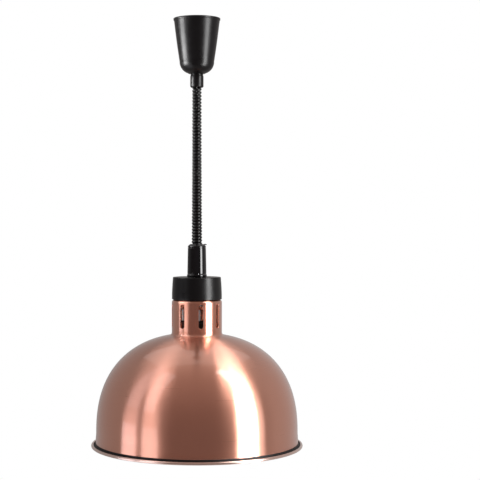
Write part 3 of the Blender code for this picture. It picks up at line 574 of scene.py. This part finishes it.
def make_curly_cord(material):
    path = coil_path()
    verts, faces = sweep(path, lambda k, turn: STRAND_R, 14)
    mesh = mesh_of("curly_cord_turns", verts, faces)
    cord = new_piece("curly_cord_turns", mesh, material, None, sharp=50)
    start, finish = Vector((0, 0, -top("curly_cord"))), Vector((0, 0, -end("curly_cord")))
    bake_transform(cord, "cord", "lamp", start=start, end=finish)
    closed = 1.2  # turns at each end that stay closed
    steps = [(k / TURN_POINTS - TURNS_ABOVE - closed) / (TURNS - 2 * closed) for k in range(len(path))]
    even_weights(cord, [min(max(t, 0.0), 1.0) for t in steps])
    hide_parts("curly_cord")


def rope(name, path, radius, material, body, node, lay=0.0060):
    """A wire rope: six strands, which show as ridges that wind round the core."""
    travelled = [0.0]
    for a, b in zip(path, path[1:]):
        travelled.append(travelled[-1] + (b - a).length)

    def section(k, turn):
        strand = abs(math.cos(3 * (turn - 2 * math.pi * travelled[k] / lay)))
        return radius * (0.80 + 0.20 * strand**0.6)

    verts, faces = sweep(path, section, 30)
    mesh = mesh_of(name, verts, faces)
    return new_piece(name, mesh, material, body, (node,), sharp=60)


def make_cables(material):
    step = 0.0005
    low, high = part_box("suspension_cable")
    radius = high.x
    count = round((high.z - low.z) / step)
    path = [Vector((0, 0, high.z + (low.z - high.z) * i / count)) for i in range(count + 1)]
    hanging = rope("suspension_rope", path, radius, material, None, "suspension_cable")
    cord_end = -end("curly_cord")
    start, finish = Vector((0, 0, high.z)), Vector((0, 0, cord_end))
    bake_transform(hanging, "cord", "lamp", start=start, end=finish)
    even_weights(hanging, [min((high.z - p.z) / (high.z - cord_end), 1.0) for p in path])

    drum_low, drum_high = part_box("cable_winding")
    centre = (drum_low + drum_high) / 2
    wound_r = (drum_high.x - drum_low.x) / 2 - radius
    width = drum_high.y - drum_low.y - 2 * radius
    turns, per_turn = 7, 72
    path = []
    for k in range(turns * per_turn + 1):
        a = 2 * math.pi * k / per_turn
        y = centre.y - width / 2 + width * k / (turns * per_turn)
        path.append(Vector((centre.x + wound_r * math.cos(a), y, centre.z + wound_r * math.sin(a))))
    rope("cable_on_drum", path, radius, material, "reel", "cable_winding", lay=0.0075)


# ----------------------------------------------------------------- ceiling end


def make_cup(material):
    """A tapered moulding with a lip at the ceiling, and a rounded end with a raised collar."""
    lip_r = widest("ceiling_cup")
    floor = end("ceiling_cup")
    body_r, low_r, taper_end = lip_r - 0.0010, 0.0233, 0.0580
    across, down, wall = 0.0150, 0.0160, 0.0018
    end_r = low_r - across
    bore = widest("exit_sleeve") - 0.00205 + GAP
    outer = rounded([(lip_r, 0.0, 0.0003), (lip_r, 0.0022, 0.0007), (body_r + 0.0001, 0.0034, 0.0008)])
    steps = 16
    for i in range(1, steps):
        share = i / steps
        bulge = 0.0003 * math.sin(share * math.pi)
        outer.append((body_r + (low_r - body_r) * share + bulge, 0.0040 + (taper_end - 0.0040) * share))
    outer += arc(end_r, taper_end, across, down, 0, 74, 24)
    collar_r = end_r + 0.0030
    outer += rounded([(collar_r + 0.0006, floor - 0.0007, 0.0003), (collar_r, floor, 0.0005)], 4)
    groove = bore + 0.0012
    outer += [(groove + 0.0005, floor), (groove, floor - 0.0004), (groove - 0.0005, floor), (bore, floor)]
    inner = arc(end_r, taper_end, across - wall, down - wall, 84, 0, 12)
    inner = [(bore, inner[0][1]), *inner, (body_r - wall, 0.0032), (body_r - wall, 0.0)]
    lathe("cup_shell", outer + inner, material, "ceiling", FINE, ("ceiling_cup",))


def make_sleeve(material):
    """The strain relief under the cup: two soft steps and a rounded mouth."""
    radius, finish = widest("exit_sleeve"), end("exit_sleeve")
    shoulder = end("ceiling_cup") + GAP
    neck_r, bore_r, mouth_r = 0.0069, 0.0060, 0.0073
    start = top("exit_sleeve")
    outline = rounded([
        (neck_r, start, 0.0003),
        (neck_r, shoulder),
        (radius - 0.0006, shoulder, 0.0002),
        (radius - 0.0004, shoulder + 0.0024, 0.0008),
        (radius, shoulder + 0.0034, 0.0006),
        (radius, finish, 0.0021),
        (mouth_r, finish, 0.0005),
        (mouth_r - 0.0001, finish - 0.0050, 0.0006),
        (bore_r, finish - 0.0060, 0.0004),
        (bore_r, start),
    ])
    lathe("strain_relief", outline, material, "ceiling", MIDDLE, ("exit_sleeve",))


def make_plate(material):
    radius, thick = widest("ceiling_plate"), end("ceiling_plate")
    outline = rounded([
        (0, 0),
        (radius, 0, 0.0003),
        (radius, thick, 0.0003),
        (0, thick),
    ])
    plate = lathe("ceiling_disc", outline, material, "ceiling", FINE, ("ceiling_plate",))
    fixing_x, foot_y = 0.0190, 0.0160
    holes = [(x, 0, 0.0023, -thick, 2 * thick) for x in (-fixing_x, fixing_x)]
    holes += [(0, y, 0.0018, -thick, 2 * thick) for y in (-foot_y, foot_y)]
    cut_holes(plate, holes)


# ------------------------------------------------------------------- grip tube


def make_grip(gloss):
    """Gland, the gland's small screw, tube and base ring, all in gloss black."""
    tube_r, tube_end_r = 0.0122, widest("grip_tube")
    start, joint = top("cord_gland"), top("grip_tube") - GAP
    rim, flat_r, bore_r = 0.3064, 0.0092, 0.0074
    spigot_r, spigot_end = 0.0106, end("cord_gland")
    gland = rounded([
        (bore_r, start, 0.0004),
        (flat_r, start, 0.0008),
        (tube_r, rim, 0.0009),
        (tube_r, joint, 0.0002),
        (spigot_r, joint),
        (spigot_r, spigot_end),
        (bore_r, spigot_end),
    ])
    gland_piece = lathe("gland_collar", gland, gloss, "lamp", MIDDLE, ("cord_gland",))
    screw_low, screw_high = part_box("gland_screw")
    screw_x = (screw_low.x + screw_high.x) / 2
    head_r = (screw_high.x - screw_low.x) / 2
    cut_holes(gland_piece, [(screw_x, 0, head_r + GAP, start - 0.005, -screw_low.z + GAP)])
    head_top, seat = -screw_high.z, -screw_low.z
    head = [(0, head_top), (head_r * 0.45, head_top, 0.0004), (head_r, head_top + 0.0007, 0.0004)]
    head += [(head_r, seat, 0.0002), (0, seat)]
    lathe("gland_screw_head", rounded(head), gloss, "lamp", 48, ("gland_screw",),
          shift=(screw_x, 0))

    tube_top, tube_end = top("grip_tube"), end("grip_tube")
    inside_r, floor, shoulder = 0.0094, 0.3398, 0.3163
    wall = rounded([
        (tube_r, tube_top, 0.0002),
        (tube_end_r, tube_end, 0.0006),
        (STEM_HOLE_R, tube_end),
        (STEM_HOLE_R, floor),
        (inside_r, floor),
        (inside_r, shoulder),
        (spigot_r + GAP, shoulder),
        (spigot_r + GAP, tube_top),
    ])
    lathe("grip_barrel", wall, gloss, "lamp", MIDDLE, ("grip_tube",))
    ring_r, ring_top, ring_end = widest("base_ring"), top("base_ring"), end("base_ring")
    foot = rounded([
        (STEM_HOLE_R, ring_top),
        (ring_r, ring_top, 0.0014),
        (ring_r, ring_end, 0.0014),
        (STEM_HOLE_R, ring_end),
    ], 8)
    lathe("foot_ring", foot, gloss, "lamp", MIDDLE, ("base_ring",))


def make_cap(material):
    start, finish = top("top_cap"), end("top_cap")
    top_r, end_r, wall = 0.0323, widest("top_cap"), 0.0024
    edge = 0.0011
    skirt_r, skirt_top, skirt_end = top_r + 0.0001, start + 2 * edge, finish - 0.0034
    outer = rounded([(STEM_HOLE_R, start), (top_r, start, edge), (skirt_r, skirt_top)], 7)
    steps = 14
    for i in range(1, steps + 1):
        share = i / steps
        radius = skirt_r + (end_r - skirt_r) * math.sin(share * math.pi / 2)
        outer.append((radius, skirt_top + (skirt_end - skirt_top) * share))
    low_edge = rounded([
        (end_r, skirt_end),
        (end_r, finish, 0.0015),
        (end_r - wall, finish, 0.0004),
        (top_r - wall, start + wall, 0.0010),
        (STEM_HOLE_R, start + wall),
    ], 7)
    lathe("cap_shell", outer + low_edge[1:], material, "lamp", FINE, ("top_cap",))


# ----------------------------------------------------------------------- shade

SHADE_TOP = 0.3785
NECK_R = 0.03375
NECK_CORNER_R = 0.0034
NECK_FILLET_R = 0.0042
DOME_A = 0.1353  # half width of the dome's superellipse
DOME_B = 0.1332  # half height
DOME_CENTRE = 0.5568  # depth of its widest place
DOME_POWER = 2.39
RIM_WALL_R = 0.1359
RIM_WALL_TOP = 0.5645
RIM_WALL_END = 0.5680
CHANNEL_R = 0.0022
CHANNEL_CENTRE_R = RIM_WALL_R + CHANNEL_R
CHANNEL_CENTRE_DEPTH = 0.5702
CHANNEL_END = (RIM_WALL_R + 0.0027, 0.57225)  # radius and depth where it meets the bead
BEAD_R = 0.0019
BEAD_RING_R = widest("shade") - BEAD_R
BEAD_DEPTH = end("shade") - BEAD_R
SLOTS = 8
SLOT_TURN = math.radians(9.5) - math.pi / 2  # the first slot
SLOT_HALF = 0.0034
SLOT_TOP = 0.3834
SLOT_END = 0.4154
BAND_TOP = 0.3824  # the straight stretch of the neck that holds the slots
BAND_END = 0.4166


def dome_point(angle):
    """A point of the dome's superellipse: 0 at its widest place, a quarter turn at its top."""
    power = 2 / DOME_POWER
    return DOME_A * math.cos(angle) ** power, DOME_CENTRE - DOME_B * math.sin(angle) ** power


def dome_normal(angle):
    """The direction square to the dome there, outwards and up."""
    step = 1e-4
    (r0, d0), (r1, d1) = dome_point(angle - step), dome_point(angle + step)
    length = math.hypot(r1 - r0, d1 - d0)
    return -(d1 - d0) / length, (r1 - r0) / length


def fillet_angle():
    """Where a fillet between neck and dome touches the dome, found by halving."""
    low, high = 0.8, math.pi / 2 - 0.01
    for _ in range(50):
        middle = (low + high) / 2
        radius = dome_point(middle)[0] + NECK_FILLET_R * dome_normal(middle)[0]
        if radius > NECK_R + NECK_FILLET_R:
            low = middle
        else:
            high = middle
    return (low + high) / 2


def shade_outlines():
    """The outer line above the slots and below them, as far as the rim's channel."""
    corner_r = NECK_R - NECK_CORNER_R
    above = [(STEM_HOLE_R, SHADE_TOP), (corner_r * 0.6, SHADE_TOP)]
    above += arc(corner_r, SHADE_TOP + NECK_CORNER_R, NECK_CORNER_R, NECK_CORNER_R, -90, 0, 10)
    above += [(NECK_R, BAND_TOP)]
    touch = fillet_angle()
    (r, depth), (nr, nd) = dome_point(touch), dome_normal(touch)
    centre = (r + NECK_FILLET_R * nr, depth + NECK_FILLET_R * nd)
    turn = math.degrees(math.atan2(-nd, -nr))
    below = [(NECK_R, BAND_END)]
    below += arc(*centre, NECK_FILLET_R, NECK_FILLET_R, 180, turn, 10)
    steps = 80
    below += [dome_point(touch * (1 - i / steps)) for i in range(1, steps + 1)]
    below += [(RIM_WALL_R, RIM_WALL_TOP), (RIM_WALL_R, RIM_WALL_END)]
    return above, below


def slot_cell(middle, radius, inset):
    """Rings of (angle, radius, depth) points from a slot's edge out to the edge of its cell.
    Each ring goes round the slot clockwise from the left end of the cell's top edge."""
    across = FINE // SLOTS
    down = 14
    width = 2 * math.pi / SLOTS
    edge, slot = [], []
    arc_top, arc_end = SLOT_TOP + SLOT_HALF, SLOT_END - SLOT_HALF
    for i in range(across):
        edge.append((-width / 2 + width * i / across, BAND_TOP))
        slot.append((math.pi * (1 - i / across), arc_top, 0.0))
    for i in range(down):
        edge.append((width / 2, BAND_TOP + (BAND_END - BAND_TOP) * i / down))
        slot.append((0.0, arc_top, (arc_end - arc_top) * i / down))
    for i in range(across):
        edge.append((width / 2 - width * i / across, BAND_END))
        slot.append((-math.pi * i / across, arc_end, 0.0))
    for i in range(down):
        edge.append((-width / 2, BAND_END - (BAND_END - BAND_TOP) * i / down))
        slot.append((-math.pi, arc_end, -(arc_end - arc_top) * i / down))
    hole = []
    for a, centre, slide in slot:
        reach = SLOT_HALF + inset
        hole.append((reach * math.cos(a) / radius, centre + slide - reach * math.sin(a)))
    rings = []
    for share in (0.0, 0.10, 0.28, 0.52, 0.76, 1.0):
        ring = []
        for (ha, hd), (ea, ed) in zip(hole, edge):
            ring.append((middle + ha + (ea - ha) * share, radius, hd + (ed - hd) * share))
        rings.append(ring)
    return rings


def slotted_band():
    """The neck's straight stretch, outside and inside, with its slots and their bevelled edges."""
    verts, faces = [], []
    bevel = 0.00018
    for i in range(SLOTS):
        middle = SLOT_TURN + 2 * math.pi * i / SLOTS
        outside = slot_cell(middle, NECK_R, bevel)
        inside = slot_cell(middle, NECK_R - SHEET, bevel)
        lip_out = [(a, NECK_R - bevel, d) for a, _, d in slot_cell(middle, NECK_R, 0.0)[0]]
        lip_in = [(a, NECK_R - SHEET + bevel, d) for a, _, d in slot_cell(middle, NECK_R, 0.0)[0]]
        rings = [*outside[::-1], lip_out, lip_in, *inside]
        count = len(rings[0])
        first = len(verts)
        for ring in rings:
            verts += [(r * math.cos(a), r * math.sin(a), -d) for a, r, d in ring]
        for k in range(len(rings) - 1):
            for j in range(count):
                n = (j + 1) % count
                row, following = first + k * count, first + (k + 1) * count
                faces.append((row + j, row + n, following + n, following + j))
    return verts, faces


def make_shade(material):
    above, below = shade_outlines()
    inner_above = offset(above, SHEET)
    inner_above[0] = (above[0][0], SHADE_TOP + SHEET)
    inner_above[-1] = (NECK_R - SHEET, BAND_TOP)
    channel = arc(CHANNEL_CENTRE_R, CHANNEL_CENTRE_DEPTH, CHANNEL_R, CHANNEL_R, 180, 90, 6)
    inner_below = offset(below + channel, SHEET)
    inner_below[0] = (NECK_R - SHEET, BAND_END)
    channel += [CHANNEL_END]
    bead = arc(BEAD_RING_R, BEAD_DEPTH, BEAD_R, BEAD_R, -150, 172, 26)
    upper = inner_above[::-1] + above
    lower = below + channel + bead + inner_below[::-1]
    start = SLOT_TURN - math.pi / SLOTS
    verts, faces = slotted_band()
    for outline in (upper, lower):
        more, loops = revolve(outline, FINE, start, closed=False)
        faces += [tuple(v + len(verts) for v in loop) for loop in loops]
        verts += more
    mesh = mesh_of("shade_shell", verts, faces, merge=0.000002)
    new_piece("shade_shell", mesh, material, "lamp", ("shade",))


# ------------------------------------------------------- lampholder and bulb


def thread(pitch, depth, start, finish):
    """A ripple that raises a helical thread between two depths."""

    def ripple(angle, radius, at):
        if not start < at < finish:
            return 0.0
        fade = min(1.0, (at - start) / pitch, (finish - at) / pitch)
        return depth * fade * (0.5 - 0.5 * math.cos(2 * math.pi * at / pitch + angle))

    return ripple


def straight(radius, start, finish, steps):
    return [(radius, start + (finish - start) * i / steps) for i in range(steps + 1)]


def make_lampholder(metal, phenolic, brass):
    start, finish = top("lampholder_cover"), end("lampholder_cover")
    radius, wall, shoulder, top_r = widest("lampholder_cover"), 0.0010, 0.0070, 0.0140
    cover = [(STEM_HOLE_R, start)]
    cover += arc(top_r, start + shoulder, radius - top_r, shoulder, -90, 0, 14)
    cover += rounded([(radius, finish - 0.0040), (radius, finish, 0.0003)])
    inside = offset(cover, wall)
    inside[0] = (STEM_HOLE_R, start + wall)
    inside[-1] = (radius - wall, finish)
    lathe("holder_cover", cover + inside[::-1], metal, "lamp", MIDDLE,
          ("lampholder_cover",))

    body_top, body_end = top("lampholder_body"), end("lampholder_body")
    plug_r, bore = radius - wall - GAP, 0.0151
    flange = finish + GAP
    skirt = rounded([
        (plug_r, body_top),
        (plug_r, flange),
        (radius, flange, 0.0004),
        (radius, flange + 0.0020, 0.0005),
        (0.0203, flange + 0.0030, 0.0005),
        (0.0200, body_end, 0.0010),
        (bore, body_end, 0.0006),
        (bore, body_top),
    ])
    lathe("holder_body", skirt, phenolic, "lamp", MIDDLE, ("lampholder_body",))
    shell_top, shell_end = top("screw_shell"), end("screw_shell")
    shell_r = widest("screw_shell")
    thread_depth = 0.0004
    outer = straight(shell_r - thread_depth, shell_top, shell_end, 72)
    inner = straight(shell_r - 2 * thread_depth, shell_end, shell_top, 72)
    lathe("threaded_shell", outer + inner, brass, "lamp", 96, ("screw_shell",),
          thread(THREAD_PITCH, thread_depth, shell_top, shell_end))


def make_bulb(materials):
    """A 125 mm reflector bulb: silvered from its neck to its widest place, with a clear front whose
    inner face is pressed in a diamond pattern."""
    glass_top, face = top("bulb_envelope"), end("bulb_envelope")
    radius, cap_end = widest("bulb_envelope"), end("bulb_cap")
    neck_r, vertex, widest_at, face_edge, wall = 0.0180, 0.4320, 0.5280, 0.5360, 0.0012
    sleeve_r = 0.0111
    outer = [(sleeve_r, glass_top), (sleeve_r, cap_end + GAP), (0.0135, cap_end + 0.0022), (0.0158, 0.4330)]
    steps = 30
    for i in range(steps + 1):
        r = neck_r + (radius - neck_r) * i / steps
        outer.append((r, vertex + (widest_at - vertex) * (r / radius) ** 2))
    lens = arc(0, face_edge, radius, face - face_edge, 0, 90, 96)
    lens[-1] = (0.0, face)
    outer += lens
    inner = offset(outer, wall)
    inner[-1] = (0.0, face - wall)
    inner[0] = (sleeve_r - wall, glass_top)

    pitch, half_height = 0.0075, 0.00050

    def dimples(at_r, depth):
        """Half the height of the inner face's pattern at that place. It fades towards the edge."""
        on_outer_face = math.hypot(at_r / radius, (depth - face_edge) / (face - face_edge)) >= 0.99
        if depth <= face_edge or on_outer_face:
            return 0.0
        return half_height * smoothstep((0.90 * radius - at_r) / (0.10 * radius))

    verts, faces = revolve(inner[::-1] + outer, 320)
    pressed = []
    for x, y, z in verts:
        rise = dimples(math.hypot(x, y), -z)
        wave = math.cos(2 * math.pi * x / pitch) * math.cos(2 * math.pi * y / pitch)
        pressed.append((x, y, z + rise * (1 - wave)))
    mesh = mesh_of("bulb_glass", pressed, faces)
    piece = new_piece("bulb_glass", mesh, [materials["bulb_glass"], materials["silver"]], "bulb",
                      ("bulb_envelope",), sharp=60)
    for polygon in piece.data.polygons:
        depth = -polygon.center.z
        if glass_top + 0.002 < depth < widest_at + 0.0015:
            polygon.material_index = 1


def make_bulb_cap(nickel, black_glass):
    start, finish = top("bulb_cap"), end("bulb_cap")
    root_r, hole = 0.01265, 0.0114
    thread_start, thread_end = start + 0.0014, finish - 0.0024
    wall = [(0.0116, start), (root_r - 0.0003, start + 0.0005), (root_r, start + 0.0012)]
    wall += straight(root_r, thread_start, thread_end, 84)
    wall += rounded([(root_r + 0.0006, finish - 0.0018, 0.0004), (0.0134, finish, 0.0003), (hole, finish)])
    wall += [(hole, start + 0.0004)]
    lathe("screw_cap", wall, nickel, "bulb", MIDDLE, ("bulb_cap",),
          thread(THREAD_PITCH, 0.0006, thread_start, thread_end))
    cone_top, cone_end, cone_r = top("bulb_insulator"), end("bulb_insulator"), widest("bulb_insulator")
    cone = rounded([
        (0.0020, cone_top),
        (0.0050, cone_top, 0.0003),
        (cone_r, cone_top + 0.0024, 0.0006),
        (cone_r, cone_end, 0.0004),
        (0.0020, cone_end),
    ])
    lathe("insulator_glass", cone, black_glass, "bulb", SMALL, ("bulb_insulator",))
    tip_top, tip_end, tip_r = top("bulb_tip_contact"), end("bulb_tip_contact"), widest("bulb_tip_contact")
    tip = rounded([(0, tip_top), (tip_r * 0.75, tip_top, 0.0008), (tip_r, tip_end, 0.0004), (0, tip_end)])
    lathe("tip_contact", tip, nickel, "bulb", SMALL, ("bulb_tip_contact",))


def make_filament(tungsten):
    """A coiled filament along the curve between its two lead-in wires."""
    low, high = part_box("filament")
    coil_r, wire_r = 0.00055, 0.00016
    radius, height = high.x - 0.0008, (low.z + high.z) / 2
    turns, per_turn = 40, 10
    path = []
    for k in range(turns * per_turn + 1):
        a = math.pi * k / (turns * per_turn)
        b = 2 * math.pi * k / per_turn
        out = radius + coil_r * math.cos(b)
        path.append(Vector((out * math.cos(a), out * math.sin(a), height + coil_r * math.sin(b))))
    verts, faces = sweep(path, lambda k, turn: wire_r, 6)
    mesh = mesh_of("coiled_filament", verts, faces)
    new_piece("coiled_filament", mesh, tungsten, "bulb", ("filament",), sharp=60)


# ---------------------------------------------------------------------- studio


def softbox(name, azimuth, height, distance, size, radiance, colour=(1, 1, 1), aim=-0.42):
    """A soft light at an angle round the lamp: 0 is the camera's side and 90 is at +X."""
    data = bpy.data.lights.new(name, "AREA")
    data.shape = "RECTANGLE"
    data.size, data.size_y = size
    data.energy = radiance * math.pi * size[0] * size[1]
    data.color = colour
    light = bpy.data.objects.new(name, data)
    bpy.context.scene.collection.objects.link(light)
    a = math.radians(azimuth)
    place = Vector((distance * math.sin(a), -distance * math.cos(a), height))
    light.location = place
    light.rotation_euler = (place - Vector((0, 0, aim))).to_track_quat("Z", "Y").to_euler()
    light.visible_camera = False


def make_world():
    """What the lamp reflects: a dim front, warmer and lighter above the camera, and pale sides and
    back. The camera itself sees white behind the lamp."""
    world = bpy.data.worlds.new("studio")
    bpy.context.scene.world = world
    world.use_nodes = True
    tree = world.node_tree

    def ramp(value, start, finish):
        made = tree.nodes.new("ShaderNodeMapRange")
        made.interpolation_type = "SMOOTHSTEP"
        made.inputs["From Min"].default_value = start
        made.inputs["From Max"].default_value = finish
        tree.links.new(value, made.inputs["Value"])
        return made.outputs["Result"]

    def mix(factor, first, second):
        made = tree.nodes.new("ShaderNodeMixRGB")
        tree.links.new(factor, made.inputs["Fac"])
        for socket, colour in ((made.inputs["Color1"], first), (made.inputs["Color2"], second)):
            if isinstance(colour, tuple):
                socket.default_value = (*colour, 1.0)
            else:
                tree.links.new(colour, socket)
        return made.outputs["Color"]

    direction = tree.nodes.new("ShaderNodeTexCoord").outputs["Generated"]
    parts = tree.nodes.new("ShaderNodeSeparateXYZ")
    tree.links.new(direction, parts.inputs["Vector"])
    front = mix(ramp(parts.outputs["Z"], 0.20, 0.75), (0.20, 0.158, 0.150), (0.42, 0.33, 0.30))
    sides = mix(ramp(parts.outputs["X"], -0.30, 0.30), (0.36, 0.342, 0.336), (0.50, 0.47, 0.46))
    around = mix(ramp(parts.outputs["Y"], -0.45, 0.25), front, sides)
    seen = tree.nodes.new("ShaderNodeLightPath").outputs["Is Camera Ray"]
    tree.links.new(mix(seen, around, (1.0, 1.0, 1.0)), tree.nodes["Background"].inputs["Color"])


def make_studio():
    """White behind the lamp, and soft lights to its left and right. Those on the left leave a gap
    level with the grip tube. A small one lights only the cup, and a weak one hangs behind."""
    bpy.context.scene.view_settings.view_transform = "Standard"
    make_world()
    softbox("key_right_low", 57, -0.45, 1.30, (0.50, 1.4), 20.0)
    softbox("key_right_high", 59, 0.95, 1.30, (0.30, 1.4), 11.0)
    softbox("border_right", 73.5, -0.20, 1.30, (0.20, 1.9), 1.3)
    softbox("key_left_low", -52, -1.05, 1.30, (0.50, 1.2), 1.8, (1.0, 1.0, 1.06))
    softbox("key_left_high", -56, 0.50, 1.30, (0.42, 1.5), 1.8, (1.0, 1.0, 1.06))
    softbox("edge_left_low", -79, -1.05, 1.30, (0.52, 1.2), 1.9, (1.0, 1.0, 1.10))
    softbox("edge_left_high", -79, 0.50, 1.30, (0.52, 1.5), 0.8, (1.0, 1.0, 1.10))
    softbox("cup_left", -82, -0.10, 0.50, (0.26, 0.34), 30.0, aim=0.60)
    softbox("overhead", 180, 1.30, 0.60, (2.4, 1.6), 0.7, aim=-0.3)
    floor_depth, floor_r = 3.0, 2.4
    verts, faces = revolve([(0, floor_depth), (floor_r, floor_depth)], 96, closed=False)
    recipe = Recipe("pale_floor")
    cloud = recipe.noise(0.8, 4.0)
    recipe.set(Base_Color=recipe.tones(cloud, (0.80, 0.80, 0.79), (0.84, 0.84, 0.83)), Roughness=0.7)
    mesh = mesh_of("floor", verts, faces)
    floor = new_piece("floor", mesh, recipe.material, None)


# ------------------------------------------------------------------------ main


def dress_nodes(materials):
    """Gives each CAD node that still shows the material of its slot in the record."""
    for part in frame["record"]["subparts"]:
        node = frame["nodes"][part["node"]]
        material = materials[part["material_slot"]]
        if not node.material_slots:
            node.data.materials.append(material)
        for slot in node.material_slots:
            slot.material = material


def main():
    make_camera()
    materials = make_materials()
    make_curly_cord(materials["cord_jacket"])
    make_cables(materials["wire_rope"])
    make_cup(materials["satin_black_plastic"])
    make_sleeve(materials["satin_black_plastic"])
    make_plate(materials["zinc_steel"])
    make_grip(materials["gloss_black_lacquer"])
    make_cap(materials["satin_black_plastic"])
    make_shade(materials["copper_shade"])
    make_lampholder(materials["bright_aluminium"], materials["black_phenolic"], materials["brass"])
    make_bulb(materials)
    make_bulb_cap(materials["nickel"], materials["black_glass"])
    make_filament(materials["tungsten"])
    dress_nodes(materials)
    make_studio()


main()
